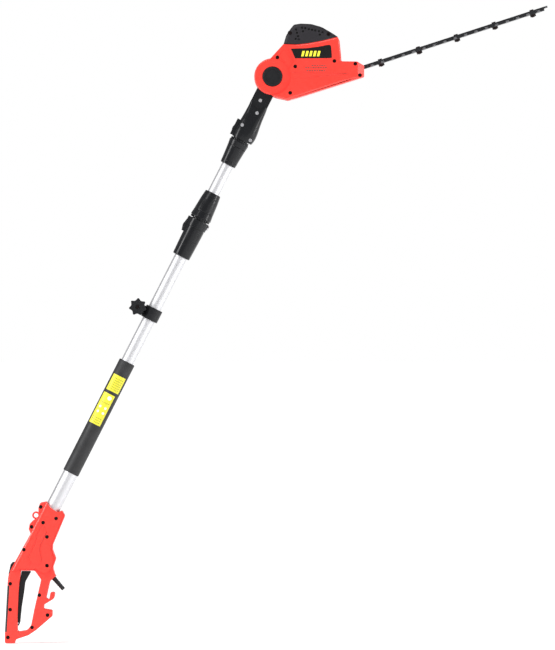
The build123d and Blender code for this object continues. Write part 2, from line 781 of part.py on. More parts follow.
def neck_shell():
    """The neck with its bores, pockets and latch housing."""
    body = neck_solid()
    start = neck_start + 3
    housing = latch_block(1.8, middle_radius + 1, sleeve_radius + 4)
    housing = fillet(housing.edges().filter_by(Axis.Z), 2.0)
    body += Pos(0, 0, start) * housing & block(-60, 0, -60, 60, neck_start, neck_start + 60)
    pocket = latch_block(clearance, middle_radius + latch_floor + clearance, sleeve_radius + 20)
    body -= Pos(0, 0, start) * pocket
    body -= post(0, 0, upper_radius, neck_start - 60, upper_tube_end)
    body -= post(0, 0, upper_radius - 3, upper_tube_end - 1, tongue_end - 20)
    body -= post(0, 0, 5, tongue_end - 25, pivot_distance - tongue_radius)
    body -= rod(0, pivot_distance, axle_radius + fit, -30, 30)
    body -= rod(0, pivot_distance, ratchet_radius, -30, ratchet_thickness - tongue_half_width)
    for offset, height in neck_screws:
        depth = neck_screw_depth(height)
        body -= rod(offset, height, screw_radius, -depth, depth - 4)
        body -= rod(offset, height, screw_recess_radius, -depth - 20, 2.6 - depth)
    return body


def neck_screw_depth(height):
    """Half the thickness of the neck at a screw."""
    return tongue_half_width if height > tongue_end else tongue_half_width + 3.0


def neck_screw_set():
    """The screws that hold the two neck halves together."""
    screws = []
    for offset, height in neck_screws:
        depth = neck_screw_depth(height)
        screws.append(POLE * screw(offset, height, 2.6 - screw_head_height - depth, 2 * depth - 9))
    return screws


def neck_lock_nut():
    """Nut under the neck that closes on the upper tube."""
    nut = lock_nut(neck_nut_radius, neck_tip_radius, neck_nut_length, upper_radius + clearance)
    return POLE * (Pos(0, 0, neck_nut_end) * Rot(180, 0, 0) * nut)


def ratchet_disc():
    """Toothed disc in the tongue that the tilt button locks into."""
    disc = rod(0, pivot_distance, ratchet_radius, -tongue_half_width, ratchet_thickness - tongue_half_width)
    disc -= rod(0, pivot_distance, axle_radius + fit, -30, 30)
    for index in range(ratchet_teeth):
        angle = 360 / ratchet_teeth * index
        groove = block(ratchet_radius - 5, ratchet_radius - 0.8, -20, 2.2 - tongue_half_width, -1, 1)
        disc -= Pos(0, 0, pivot_distance) * Rot(0, angle, 0) * groove
    return POLE * disc


def split(solid, side):
    """The left or the right half of a shell, cut at y = 0."""
    low, high = (0, 200) if side > 0 else (-200, 0)
    return solid & block(-2000, 2000, low, high, -2000, 2000)


# ---- head ----------------------------------------------------------------------------
body_corners = [
    (-6, 38), (24.5, 71.5, 2), (52, 70.5, 10), (80, 73.5, 60), (112, 79.5, 60), (143, 87.5, 3),
    (147.5, 78, 10), (150.5, 48, 20), (151.5, 33.5, 2.5), (186, 33, 8), (201.5, 24, 5),
    (201.5, -0.5, 3), (54, -47, 12), (34, -52, 10), (0, -44.5, 30), (-8, -30),
]
dome_corners = [
    (24, 70, 1), (30, 90, 15), (39, 104, 12), (47, 114, 6), (62, 116.5, 20), (85, 115.5, 40),
    (108, 109, 40), (128, 97.5, 40), (143.5, 87.5, 1), (120, 60), (60, 60),
]
facet_corners = [
    (-20, 26), (-12, 44), (24, 80), (33, 68, 2), (48.5, 33, 2), (36, 16),
]
flash_corners = [(15, 45, 1), (26, 59, 1), (36, 43, 2), (43, 33.5, 1), (27, 33.5, 2)]
badge_corners = [
    (40.5, 61, 0.8), (50, 39.6, 1), (131, 40, 3.5), (128.5, 70.5, 5), (100, 65.2, 60), (75, 62, 60),
]
head_screws = [(11, 42), (50, 22), (39, -36), (136, 34), (182, 28), (192, 3)]
dome_screws = [(39, 95.5), (123, 93)]
vent_holes = [
    (52, 103), (54, 96), (56, 88.5), (51, 82.5), (58, 81.5), (65, 107), (67, 99.5), (72, 106),
    (80, 104), (87, 102.5), (94, 101), (102, 99.5), (110, 97.5), (104, 92),
]


def inset(corners, distance):
    """The face inside a sharp cornered outline, moved in by a distance."""
    return offset(outline([corner[:2] for corner in corners]), -distance, kind=Kind.INTERSECTION)


def plan_prism(shrink):
    """Bar seen from above that narrows the head towards its nose."""
    wide = head_half_width - shrink
    narrow = nose_half_width - shrink
    corners = [
        (-60, -wide), (150, -wide), (187, -wide + 3), (201.5 - shrink, -narrow),
        (201.5 - shrink, narrow), (187, wide - 3), (150, wide), (-60, wide),
    ]
    return Pos(0, 0, -80) * extrude(make_face(Polyline(corners, close=True)), amount=240)


def bottom_bevels(shift):
    """Sloped cuts along both lower edges of the head, level with the blade."""
    low = blade_plane - 19.5 + shift
    wedge = make_face(Polyline([(head_half_width - 9, low), (60, low), (60, low + 30)], close=True))
    right = extrude(Plane.YZ * wedge, amount=300)
    cut = right + mirror(right, about=Plane.XZ)
    return BLADE * (Pos(-40, 0, 0) * cut)


def from_pivot(angle, distance):
    """Point at a direction and distance from the pivot, in the head's frame."""
    return (distance * cos(radians(angle)), distance * sin(radians(angle)))


def neck_slot():
    """Space between the cheeks that the neck sweeps through as the head tilts."""
    rest = 270 - pole_lean
    first = rest - 45
    last = rest + 45
    near_first = from_pivot(first - 90, 20)
    near_last = from_pivot(last + 90, 22.5)
    reach_first = from_pivot(first, 110)
    reach_last = from_pivot(last, 110)
    sweep_face = outline([
        near_first, (near_first[0] + reach_first[0], near_first[1] + reach_first[1]),
        from_pivot(rest, 150), (near_last[0] + reach_last[0], near_last[1] + reach_last[1]), near_last,
    ])
    half = tongue_half_width + clearance
    return slab(sweep_face, -half, half) + rod(0, 0, tongue_radius + 1.5, -half, half)


def head_core(half):
    """The red body's silhouette, pulled out to both sides."""
    body = slab(outline(body_corners), -half, half)
    return body + rod(0, 0, boss_radius - 0.5, -half, half)


def head_ribs():
    """Ribs across the head that carry the motor and its upper bearing."""
    ribs = block(motor_u - 60, motor_u + 60, -60, 60, stator_low + 8, stator_low + 11)
    ribs += block(motor_u - 60, motor_u + 60, -60, 60, stator_low + 36, stator_low + 39)
    ribs -= post(motor_u, 0, stator_radius, -80, 60)
    bridge = block(motor_u - 40, motor_u + 40, -60, 60, bearing_low, bearing_low + 6)
    bridge -= post(motor_u, 0, bearing_radius, -80, 100)
    for angle in (45, 135, 225, 315):
        bridge -= Pos(motor_u, 0, 0) * Rot(0, 0, angle) * post(19, 0, 5, bearing_low - 1, bearing_low + 8)
    return BLADE * (ribs + bridge)


def head_hollow():
    """Space inside the body and the vent cover."""
    body = inset(body_corners, wall)
    dome = inset(dome_corners, wall)
    inner = head_half_width - wall
    room = slab(body, -inner, inner) & plan_prism(wall) & block(28, 300, -60, 60, -80, 200)
    room -= bottom_bevels(2 * wall)
    room += slab(dome, -dome_half_width + wall, dome_half_width - wall)
    slot_wall = neck_slot_wall()
    return room - slot_wall


def neck_slot_wall():
    """Cheeks and the wall behind the neck slot, kept solid."""
    cheeks = rod(0, 0, boss_radius + wall, -80, 80)
    last = 315 - pole_lean
    corner = from_pivot(last + 90, 22.5 + wall + 1)
    reach = from_pivot(last, 110)
    back = outline([corner, (corner[0] + reach[0], corner[1] + reach[1]), (-100, -100), (-60, 10)])
    return cheeks + slab(back, -80, 80)


def head_shell():
    """The two moulded halves of the head as one hollow body, in the head's frame."""
    body = slab(outline(body_corners), -head_half_width, head_half_width)
    rims = body.edges().group_by(Axis.Y)
    body = fillet(rims[0] + rims[-1], body_rounding)
    cheeks = rod(0, 0, boss_radius - 0.5, -cheek_half_width, cheek_half_width)
    rims = cheeks.edges().group_by(Axis.Y)
    cheeks = fillet(rims[0] + rims[-1], head_rounding)
    step = slab(outline(facet_corners), cheek_half_width + 2, 60)
    well = rod(0, 0, boss_radius, cheek_half_width, 60)
    for cut in (step, well):
        body -= cut + mirror(cut, about=Plane.XZ)
    flash = slab(outline(flash_corners), -cheek_half_width - 3, cheek_half_width + 3)
    body = ((body + flash) & plan_prism(0)) + cheeks
    body -= bottom_bevels(0)
    badge = slab(outline(badge_corners), head_half_width - badge_thickness, 60)
    body -= badge + mirror(badge, about=Plane.XZ)
    body -= head_hollow() - slab(outline(badge_corners), head_half_width - badge_thickness - wall, 60)
    return body


def tilt_cuts():
    """Bore for the tilt axle, the button's well and the cap's well."""
    cuts = rod(0, 0, axle_radius, -60, 60)
    cuts += rod(0, 0, button_radius + 1, -60, well_depth - cheek_half_width)
    cuts += rod(0, 0, button_radius + 0.4, cheek_half_width - well_depth, 60)
    return cuts


def head_pieces():
    """The red body and the black vent cover, both still uncut at y = 0."""
    body = head_shell()
    dome = slab(outline(dome_corners), -dome_half_width, dome_half_width)
    rims = dome.edges().group_by(Axis.Y)
    dome = fillet(rims[0] + rims[-1], dome_rounding)
    dome -= slab(outline(body_corners), -60, 60)
    for x, z in vent_holes:
        dome -= rod(x, z, vent_radius, -60, 60)
    hollow = head_hollow()
    ribs = head_ribs() & hollow
    dome = (dome - hollow) + (ribs & (slab(outline(dome_corners) - outline(body_corners), -50, 50)))
    body = body + (ribs & head_core(head_half_width))
    for x, z in head_screws:
        depth = head_screw_depth(x)
        body += rod(x, z, screw_boss_radius, wall - depth, depth - wall) & head_core(head_half_width)
        body -= rod(x, z, screw_radius, -depth, depth - 4)
        body -= rod(x, z, screw_recess_radius, -depth - 30, screw_recess_depth - depth)
    for x, z in dome_screws:
        depth = dome_half_width
        dome += rod(x, z, screw_boss_radius, wall - depth, depth - wall)
        dome -= rod(x, z, screw_radius, -depth, depth - 4)
        dome -= rod(x, z, screw_recess_radius, -depth - 30, screw_recess_depth - depth)
    body -= neck_slot() + tilt_cuts()
    body -= BLADE * blade_opening()
    body -= BLADE * drive_room()
    return body, dome


def head_screw_depth(x):
    """Half the thickness of the head at a screw."""
    return head_half_width if 30 < x < 150 else cheek_half_width - 1.0


def blade_opening():
    """Slot in the nose that the blades and the bar pass through."""
    half = blade_half_width + 1.5
    low = blade_plane - blade_gap / 2 - blade_thickness - 1.2
    return block(150, nose_exit + 30, -half, half, low, case_low + 0.8)


def drive_room():
    """Clear space round the gear case, the gears and the blades' tails."""
    room = block(gear_u - gear_radius - 6, gear_u + 12, -case_half_width, case_half_width,
                 case_low - 0.2, bracket_low + plate_thickness + 0.2)
    room += post(gear_u, 0, gear_radius + 0.8, gear_low - 1, gear_low + gear_thickness + 1)
    tail_room = window_reach + 5 + eccentric_offset + clearance
    room += block(gear_u - tail_room, nose_exit - 4, -20, 20, blade_plane - 9, case_low)
    room += post(motor_u, 0, stator_radius, stator_low, stator_low + stator_length)
    return room


def tilt_axle():
    """Bolt that the head tilts on, with its flat head under the button."""
    low = well_depth - cheek_half_width
    return rod(0, 0, axle_radius, low, cheek_half_width - well_depth + 7) + rod(0, 0, 8, low - 2, low)


def tilt_axle_nut():
    """Hexagon nut on the far end of the tilt axle."""
    low = cheek_half_width - well_depth
    nut = Pos(0, low, 0) * Rot(-90, 0, 0) * extrude(RegularPolygon(7.4, 6), amount=5.5)
    return nut - rod(0, 0, axle_radius, -60, 60)


def tilt_button():
    """Round press button that frees the ratchet."""
    near = -cheek_half_width - 1.6
    button = rod(0, 0, button_radius, near, near + button_thickness)
    button = fillet(button.edges().group_by(Axis.Y)[0], 1.6)
    button -= rod(0, 0, button_radius - 5.5, near - 1, near + 1.1)
    rib = outline([(-13, -3, 1), (-12, -6, 1), (11, -17, 1), (13, -14, 1)])
    ridge = outline([
        (4, 14, 1), (13, 5, 2), (14, -4, 2), (15.4, -3, 2), (14.6, 7, 2), (6, 15.5, 1),
    ])
    return button + slab(rib, near, near + 2) + slab(ridge, near, near + 2)


def tilt_button_spring():
    """Spring behind the tilt button."""
    low = -cheek_half_width - 1.6 + button_thickness
    place = Pos(0, low + 0.6, 0) * Rot(-90, 0, 0)
    return place * coil(12, 0.6, well_depth - button_thickness + 0.4, 2.5)


def tilt_cap():
    """Cap over the nut on the left cheek."""
    low = cheek_half_width - well_depth
    high = cheek_half_width + 1.6
    cap = rod(0, 0, button_radius + 0.4, low, high)
    cap = fillet(cap.edges().group_by(Axis.Y)[-1], 1.6)
    cap -= rod(0, 0, button_radius - 5.5, high - 1.1, high + 1)
    return cap - rod(0, 0, 11, low - 1, high - 3.4)


def badge_panels():
    """Plain dark panels let into both sides of the body."""
    face = outline(badge_corners)
    left = slab(face, head_half_width - badge_thickness, head_half_width - 0.5)
    return [left, mirror(left, about=Plane.XZ)]


def head_screw_set():
    """The screws of the body and the vent cover."""
    screws = []
    for x, z in head_screws:
        depth = head_screw_depth(x)
        screws.append(screw(x, z, screw_recess_depth - screw_head_height - depth, 2 * depth - 14))
    for x, z in dome_screws:
        screws.append(screw(x, z, screw_recess_depth - screw_head_height - dome_half_width,
                            2 * dome_half_width - 14))
    return screws


# ---- motor and drive, along the blade's frame ----------------------------------------
def motor_stator():
    """Laminated ring with its windings' ends."""
    high = stator_low + stator_length
    ring = pipe(stator_radius, stator_radius - stator_wall, stator_low, high)
    for index in range(4):
        notch = Rot(0, 0, 90 * index + 45) * post(stator_radius, 0, 2, stator_low - 1, high + 1)
        ring -= notch
    return Pos(motor_u, 0, 0) * ring


def brush_ring():
    """Moulded ring on the stator that holds the brushes."""
    low = stator_low + stator_length
    ring = pipe(stator_radius - 0.5, stator_radius - 8, low, low + 12)
    return Pos(motor_u, 0, 0) * (ring - block(-3, 3, -60, 60, low + 3, low + 9))


def carbon_brushes():
    """The two brushes beside the commutator."""
    low = stator_low + stator_length + 3
    left = block(-3, 3, commutator_radius + 0.3, stator_radius - 2, low, low + 6)
    return [Pos(motor_u, 0, 0) * left, Pos(motor_u, 0, 0) * mirror(left, about=Plane.XZ)]


def armature():
    """Motor shaft with its laminated core and commutator."""
    core_radius = stator_radius - stator_wall - air_gap
    core_high = stator_low + stator_length - 2
    core = post(0, 0, core_radius, stator_low + 3, core_high)
    for index in range(12):
        slot = block(core_radius - 7, core_radius + 1, -1.3, 1.3, stator_low, core_high + 1)
        core -= Rot(0, 0, 30 * index) * slot
    commutator = post(0, 0, commutator_radius, core_high, core_high + 14)
    shaft = post(0, 0, shaft_radius, bracket_low + 0.3, fan_low + 11)
    shaft += post(0, 0, pinion_bore, gear_low - 1, bracket_low + 0.3)
    return Pos(motor_u, 0, 0) * (core + commutator + shaft)


def motor_bearings():
    """Ball bearings at both ends of the motor shaft."""
    upper = pipe(bearing_radius, shaft_radius + fit, bearing_low, bearing_low + bearing_length)
    lower = pipe(bearing_radius - 0.5, shaft_radius + fit, bracket_low + 0.5, bracket_low + bearing_length)
    return [Pos(motor_u, 0, 0) * upper, Pos(motor_u, 0, 0) * lower]


def motor_fan():
    """Cooling fan above the upper bearing."""
    fan = pipe(fan_radius, shaft_radius, fan_low, fan_low + 1.4)
    fan += pipe(8, shaft_radius, fan_low, fan_low + 9)
    for index in range(fan_blades):
        blade = block(7, fan_radius - 0.5, -0.7, 0.7, fan_low, fan_low + 8)
        fan += Rot(0, 0, 360 / fan_blades * index) * (Pos(0, 1.5, 0) * blade)
    return Pos(motor_u, 0, 0) * fan


def toothed_wheel(radius, teeth, bore, thickness):
    """Spur gear along Z with straight flanks."""
    depth = 2.0
    corners = []
    for index in range(teeth):
        for share, reach in ((-0.30, -depth), (-0.16, 0), (0.16, 0), (0.30, -depth)):
            angle = 2 * pi * (index + share) / teeth
            corners.append(((radius + reach) * cos(angle), (radius + reach) * sin(angle)))
    wheel = extrude(make_face(Polyline(corners, close=True)), amount=thickness)
    return wheel - post(0, 0, bore, -1, thickness + 1)


def motor_pinion():
    """Pinion on the lower end of the motor shaft."""
    corners = []
    for index in range(pinion_teeth):
        for share, reach in ((-0.30, -1.1), (-0.16, 0), (0.16, 0), (0.30, -1.1)):
            angle = 2 * pi * (index + share) / pinion_teeth
            corners.append(((pinion_radius + reach) * cos(angle), (pinion_radius + reach) * sin(angle)))
    wheel = extrude(make_face(Polyline(corners, close=True)), amount=gear_thickness)
    wheel -= post(0, 0, pinion_bore, -1, gear_thickness + 1)
    return Pos(motor_u, 0, gear_low) * wheel


def drive_gear():
    """Large gear on the eccentric axle."""
    wheel = toothed_wheel(gear_radius, gear_teeth, shaft_radius, gear_thickness)
    for index in range(6):
        wheel -= Rot(0, 0, 60 * index) * post(18, 0, 4.5, -1, gear_thickness + 1)
    return Pos(gear_u, 0, gear_low) * wheel


def eccentric_axle():
    """Axle with two opposed eccentric discs for the blades."""
    lower_top = blade_plane - blade_gap / 2
    upper_low = blade_plane + blade_gap / 2
    axle = post(0, 0, shaft_radius, lower_top - blade_thickness - 4, bracket_low + plate_thickness - 1)
    axle += post(eccentric_offset, 0, eccentric_radius, upper_low, upper_low + blade_thickness)
    axle += post(-eccentric_offset, 0, eccentric_radius, lower_top - blade_thickness, lower_top)
    return Pos(gear_u, 0, 0) * axle


def gear_case():
    """Cast frame that carries the bar, the gears and the lower motor bearing."""
    high = bracket_low + plate_thickness
    frame = block(motor_u - 12, gear_u + 8, -case_half_width, case_half_width, case_low, high)
    frame -= block(motor_u - 20, gear_u + 20, -case_half_width + 2.6, case_half_width - 2.6,
                   case_low + plate_thickness, bracket_low)
    frame -= post(gear_u, 0, gear_radius + 0.6, gear_low - 0.5, gear_low + gear_thickness + 0.5)
    arm = block(gear_u, nose_exit - 22, -15, 15, case_low, case_low + plate_thickness)
    frame += arm
    frame -= post(motor_u, 0, bearing_radius - 0.5, bracket_low + 0.5, high + 20)
    frame -= post(motor_u, 0, shaft_radius + 1.2, case_low - 1, high + 1)
    frame -= post(gear_u, 0, shaft_radius + fit, case_low - 1, high + 1)
    return frame


def guide_bar():
    """Blunt steel bar above the blades."""
    start = gear_u + 18
    high = bar_low + bar_thickness
    bar = block(start, bar_tip - bar_half_width, -bar_half_width, bar_half_width, bar_low, high)
    bar += post(bar_tip - bar_half_width, 0, bar_half_width, bar_low, high)
    bar -= post(bar_tip - bar_half_width, 0, 2.6, bar_low - 1, high + 1)
    for position in bolt_places():
        bar -= post(position, 0, blade_bolt_radius, bar_low - 1, high + 1)
    return bar


def bolt_places():
    """Blade bolts along the blade."""
    return [nose_exit + first_bolt + bolt_pitch * index for index in range(bolt_count)]


def tooth_face(position, side):
    """One sloped tooth of a blade, in the blade's plane."""
    root = side * (blade_half_width - 0.5)
    tip = side * (blade_half_width + tooth_reach)
    corners = [
        (position - tooth_root / 2, root), (position + tooth_root / 2, root),
        (position + tooth_tip / 2, tip), (position - tooth_tip / 2, tip),
    ]
    return make_face(Polyline(corners, close=True))


def blade(low):
    """One toothed blade with its slots and the window for its eccentric."""
    start = gear_u + window_reach + 4
    end = bar_tip - blade_tip_gap
    high = low + blade_thickness
    strip = block(start - 1, end, -blade_half_width, blade_half_width, low, high)
    tail_reach = window_reach + 5
    tail_half = window_half + 5
    tail = block(gear_u - tail_reach, gear_u + tail_reach, -tail_half, tail_half, low, high)
    tail = fillet(tail.edges().filter_by(Axis.Z), 5)
    tail -= block(gear_u - window_reach, gear_u + window_reach, -window_half, window_half, low - 1, high + 1)
    body = strip + tail
    teeth = int((end - nose_exit - 22) / tooth_pitch) + 1
    for index in range(teeth):
        for side in (-1, 1):
            face = tooth_face(nose_exit + 18 + tooth_pitch * index, side)
            body += Pos(0, 0, low) * extrude(face, amount=blade_thickness, dir=(0, 0, 1))
    slot_half = blade_bolt_radius + clearance
    for position in bolt_places():
        body -= block(position - eccentric_offset, position + eccentric_offset,
                      -slot_half, slot_half, low - 1, high + 1)
        for side in (-1, 1):
            body -= post(position + side * eccentric_offset, 0, slot_half, low - 1, high + 1)
    return body


def blade_bolts():
    """Bolts and nuts that hold the blades against the bar."""
    pieces = []
    top = bar_low + bar_thickness
    low = blade_plane - blade_gap / 2 - blade_thickness - blade_gap
    for position in bolt_places():
        bolt = post(position, 0, blade_bolt_radius, low - 6.2, top)
        bolt += post(position, 0, bolt_head_radius, top, top + 2.4)
        hexagon = RegularPolygon(nut_across / 2 / cos(pi / 6), 6)
        nut = Pos(position, 0, low - 5.2) * extrude(hexagon, amount=4.2)
        washer = post(position, 0, nut_across / 2 + 1.2, low - 1, low)
        hole = post(position, 0, blade_bolt_radius, low - 8, top)
        pieces.append(bolt)
        pieces.append((nut + washer) - hole)
    return pieces


rear = rear_shell()
save("rear_housing_left", split(rear, 1))
save("rear_housing_right", split(rear, -1))
save("back_grip_pad", back_grip_pad())
save("foot_pad", foot_pad())
save("trigger", trigger())
save("trigger_pin", rod(trigger_pin_x, trigger_pin_z, trigger_pin_radius, -pin_half, pin_half))
save("trigger_spring", trigger_spring())
save("power_switch", power_switch())
save("lock_off_button", lock_off_button())
save("lock_off_spring", lock_off_spring())
save("strain_relief_boot", strain_relief_boot())
save("cord_clamp", cord_clamp())
save("handle_screws", handle_screw_set())
save("handle_tube", tube(handle_radius, handle_bore, handle_tube_start, handle_tube_end))
save("grip_sleeve", grip_sleeve())
save("grip_labels", grip_labels())
save("middle_tube", tube(middle_radius, middle_bore, middle_tube_start, middle_tube_end))
save("strap_clamp_band", strap_clamp_band())
save("strap_clamp_bolt", strap_clamp_bolt())
save("strap_clamp_knob", strap_clamp_knob())
save("coupling_sleeve", coupling_sleeve())
save("coupling_screw", coupling_screw())
save("coupling_latch_button", latch_button(sleeve_radius + 8, coupling_end - latch_length - 1.5))
save("coupling_latch_spring", latch_spring(coupling_end - latch_length - 1.5))
save("coupling_lock_nut", coupling_lock_nut())
save("coupling_collet", collet(coupling_end + spigot_length, 1))
save("upper_tube", tube(upper_radius, upper_radius - upper_tube_wall, upper_tube_start, upper_tube_end))
neck = neck_shell()
save("neck_housing_left", POLE * split(neck, 1))
save("neck_housing_right", POLE * split(neck, -1))
save("neck_screws", neck_screw_set())
save("neck_latch_button", latch_button(sleeve_radius + 7.5, neck_start + 3))
save("neck_latch_spring", latch_spring(neck_start + 3))
save("neck_lock_nut", neck_lock_nut())
save("neck_collet", collet(neck_start - spigot_length + 2, -1))
save("tilt_ratchet", ratchet_disc())

body, dome = head_pieces()
save("head_housing_left", HEAD * split(body, 1))
save("head_housing_right", HEAD * split(body, -1))
save("vent_cover_left", HEAD * split(dome, 1))
save("vent_cover_right", HEAD * split(dome, -1))
save("badge_panels", [HEAD * panel for panel in badge_panels()])
save("head_screws", [HEAD * piece for piece in head_screw_set()])
save("tilt_axle", HEAD * tilt_axle())
save("tilt_axle_nut", HEAD * tilt_axle_nut())
save("tilt_button", HEAD * tilt_button())
save("tilt_button_spring", HEAD * tilt_button_spring())
save("tilt_cap", HEAD * tilt_cap())
DRIVE = HEAD * BLADE.location
save("motor_stator", DRIVE * motor_stator())
save("brush_ring", DRIVE * brush_ring())
save("carbon_brushes", [DRIVE * brush for brush in carbon_brushes()])
save("armature", DRIVE * armature())
save("motor_bearings", [DRIVE * bearing for bearing in motor_bearings()])
save("motor_fan", DRIVE * motor_fan())
save("motor_pinion", DRIVE * motor_pinion())
save("drive_gear", DRIVE * drive_gear())
save("eccentric_axle", DRIVE * eccentric_axle())
save("gear_case", DRIVE * gear_case())
save("guide_bar", DRIVE * guide_bar())
save("upper_blade", DRIVE * blade(blade_plane + blade_gap / 2))
save("lower_blade", DRIVE * blade(blade_plane - blade_gap / 2 - blade_thickness))
save("blade_bolts", [DRIVE * piece for piece in blade_bolts()])
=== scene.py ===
# %% [markdown]
# # A pole hedge trimmer, dressed in Blender
# The CAD model already holds every piece in its true place, in metres: a closed rear
# handle, a telescopic pole, a tilting neck and a motor head with two toothed blades.
# Blender adds what the eye expects: eased edges, moulded texture, beads, print and light.
# We start by loading that model as a frame that never moves.

# %% Load the frame
import json
import math

import bmesh
import bpy
from mathutils import Matrix, Vector

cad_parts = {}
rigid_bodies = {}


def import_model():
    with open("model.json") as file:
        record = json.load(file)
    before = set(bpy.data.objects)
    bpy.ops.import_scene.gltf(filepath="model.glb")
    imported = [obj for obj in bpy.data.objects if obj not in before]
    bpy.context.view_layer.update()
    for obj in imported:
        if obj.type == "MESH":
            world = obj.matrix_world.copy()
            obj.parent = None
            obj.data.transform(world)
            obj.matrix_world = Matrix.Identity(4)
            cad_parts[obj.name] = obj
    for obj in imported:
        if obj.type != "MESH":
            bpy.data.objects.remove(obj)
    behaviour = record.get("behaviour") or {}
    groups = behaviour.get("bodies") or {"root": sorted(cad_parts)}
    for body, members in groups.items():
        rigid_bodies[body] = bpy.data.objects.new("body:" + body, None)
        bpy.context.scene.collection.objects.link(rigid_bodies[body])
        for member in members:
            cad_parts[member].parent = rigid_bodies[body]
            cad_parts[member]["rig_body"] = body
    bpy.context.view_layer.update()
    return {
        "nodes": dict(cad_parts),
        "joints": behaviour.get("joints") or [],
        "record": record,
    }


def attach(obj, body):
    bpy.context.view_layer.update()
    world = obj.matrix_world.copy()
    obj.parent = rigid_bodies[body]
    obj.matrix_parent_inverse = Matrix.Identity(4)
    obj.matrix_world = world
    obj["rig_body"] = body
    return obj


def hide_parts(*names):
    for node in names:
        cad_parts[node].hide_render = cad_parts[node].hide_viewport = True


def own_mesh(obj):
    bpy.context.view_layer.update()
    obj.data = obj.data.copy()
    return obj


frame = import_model()
nodes = frame["nodes"]

# %% [markdown]
# The pole leans and the head sits on its pivot, so beads and print are easiest to lay out
# in frames of their own. The pole's frame has its Z along the tubes, and the head's frame
# has its origin on the pivot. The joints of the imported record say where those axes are, so
# nothing is measured twice.

# %% Frames on the pole and the head
MM = 0.001
joints = {joint["name"]: joint for joint in frame["joints"]}


def frame_along(origin, axis):
    """A matrix at origin with Z along axis and Y kept across the tool."""
    z = Vector(axis).normalized()
    y = Vector((0, 1, 0))
    x = y.cross(z)
    return Matrix((
        (x.x, y.x, z.x, origin.x),
        (x.y, y.y, z.y, origin.y),
        (x.z, y.z, z.z, origin.z),
        (0, 0, 0, 1),
    ))


pivot = Vector(joints["head_tilt"]["pos_m"])
pole_axis = Vector(joints["pole_extend"]["axis"])
blade_axis = Vector(joints["upper_blade_stroke"]["axis"])
PIVOT_ALONG_POLE = 1397.5 * MM
POLE = frame_along(pivot - pole_axis * PIVOT_ALONG_POLE, pole_axis)
HEAD = Matrix.Translation(pivot)
print("pivot", tuple(round(v, 4) for v in pivot))

# %% [markdown]
# ## Camera, stage and light
# Something this long looks right from far away through a long lens, because its lines then
# stay nearly parallel. The stage is one wide pale sheet of paper under the foot.
# The light is soft: a pale sky all round, and a broad sun from the front and above, wide
# enough that every shadow has a soft edge. Two panels put long highlights on the tubes.

# %% Camera
FIELD_HEIGHT = 1.430
CAMERA_DISTANCE = 16.0
view_centre = Vector((0.587, 0.0, 0.6996))

camera_data = bpy.data.cameras.new("camera")
camera_data.sensor_width = 36.0
camera_data.lens = camera_data.sensor_width * CAMERA_DISTANCE / FIELD_HEIGHT
camera = bpy.data.objects.new("camera", camera_data)
camera.location = view_centre - Vector((0, CAMERA_DISTANCE, 0))
camera.rotation_euler = (math.radians(90), 0, 0)
bpy.context.scene.collection.objects.link(camera)
bpy.context.scene.camera = camera
bpy.context.scene.view_settings.view_transform = "Standard"
print("lens", round(camera_data.lens), "mm at", CAMERA_DISTANCE, "m")

# %% Stage
STAGE_RADIUS = 120.0
STAGE_CORNERS = 64
STAGE_DROP = 0.8 * MM
PAPER_WHITE = 0.95
PAPER_GLOW = 0.35
stage_mesh = bpy.data.meshes.new("stage")
stage_edge = [math.tau * step / STAGE_CORNERS for step in range(STAGE_CORNERS)]
stage_mesh.from_pydata(
    [(STAGE_RADIUS * math.cos(a), STAGE_RADIUS * math.sin(a), -STAGE_DROP) for a in stage_edge],
    [], [tuple(range(STAGE_CORNERS))])
stage = bpy.data.objects.new("stage", stage_mesh)
bpy.context.scene.collection.objects.link(stage)

paper = bpy.data.materials.new("stage_paper")
paper.use_nodes = True
paper_shader = paper.node_tree.nodes["Principled BSDF"]
paper_shader.inputs["Base Color"].default_value = (PAPER_WHITE, PAPER_WHITE, PAPER_WHITE, 1)
paper_shader.inputs["Roughness"].default_value = 0.95
paper_shader.inputs["Specular IOR Level"].default_value = 0.1
paper_shader.inputs["Emission Color"].default_value = (1, 1, 1, 1)
paper_shader.inputs["Emission Strength"].default_value = PAPER_GLOW
stage_mesh.materials.append(paper)
print("a paper stage", STAGE_RADIUS, "m in radius")

# %% Sun and panels
SUN_STRENGTH = 1.75
SUN_WIDTH = math.radians(35)
SUN_DIRECTION = Vector((0.45, 0.75, -1.0))
PANEL_WIDTH = 1.0
PANEL_HEIGHT = 2.6

sun_data = bpy.data.lights.new("soft_sun", "SUN")
sun_data.energy = SUN_STRENGTH
sun_data.angle = SUN_WIDTH
sun = bpy.data.objects.new("soft_sun", sun_data)
sun.rotation_euler = SUN_DIRECTION.to_track_quat("-Z", "Y").to_euler()
bpy.context.scene.collection.objects.link(sun)


def soft_panel(name, place, target, power):
    """A tall rectangular area light that faces the target."""
    data = bpy.data.lights.new(name, "AREA")
    data.shape = "RECTANGLE"
    data.size = PANEL_WIDTH
    data.size_y = PANEL_HEIGHT
    data.energy = power
    light = bpy.data.objects.new(name, data)
    light.location = place
    light.rotation_euler = (Vector(target) - Vector(place)).to_track_quat("-Z", "Y").to_euler()
    bpy.context.scene.collection.objects.link(light)


soft_panel("left_panel", (-2.8, -1.3, 1.5), (0.5, 0, 0.8), power=70)
soft_panel("right_panel", (3.9, -1.1, 1.3), (0.6, 0, 0.8), power=85)
print("lights:", [light.name for light in bpy.data.lights])

# %% [markdown]
# The sky has two jobs that want two brightnesses: it lights the tool gently, and it is the
# white seen behind the tool. A Light Path node tells the rays of the camera from the rest.

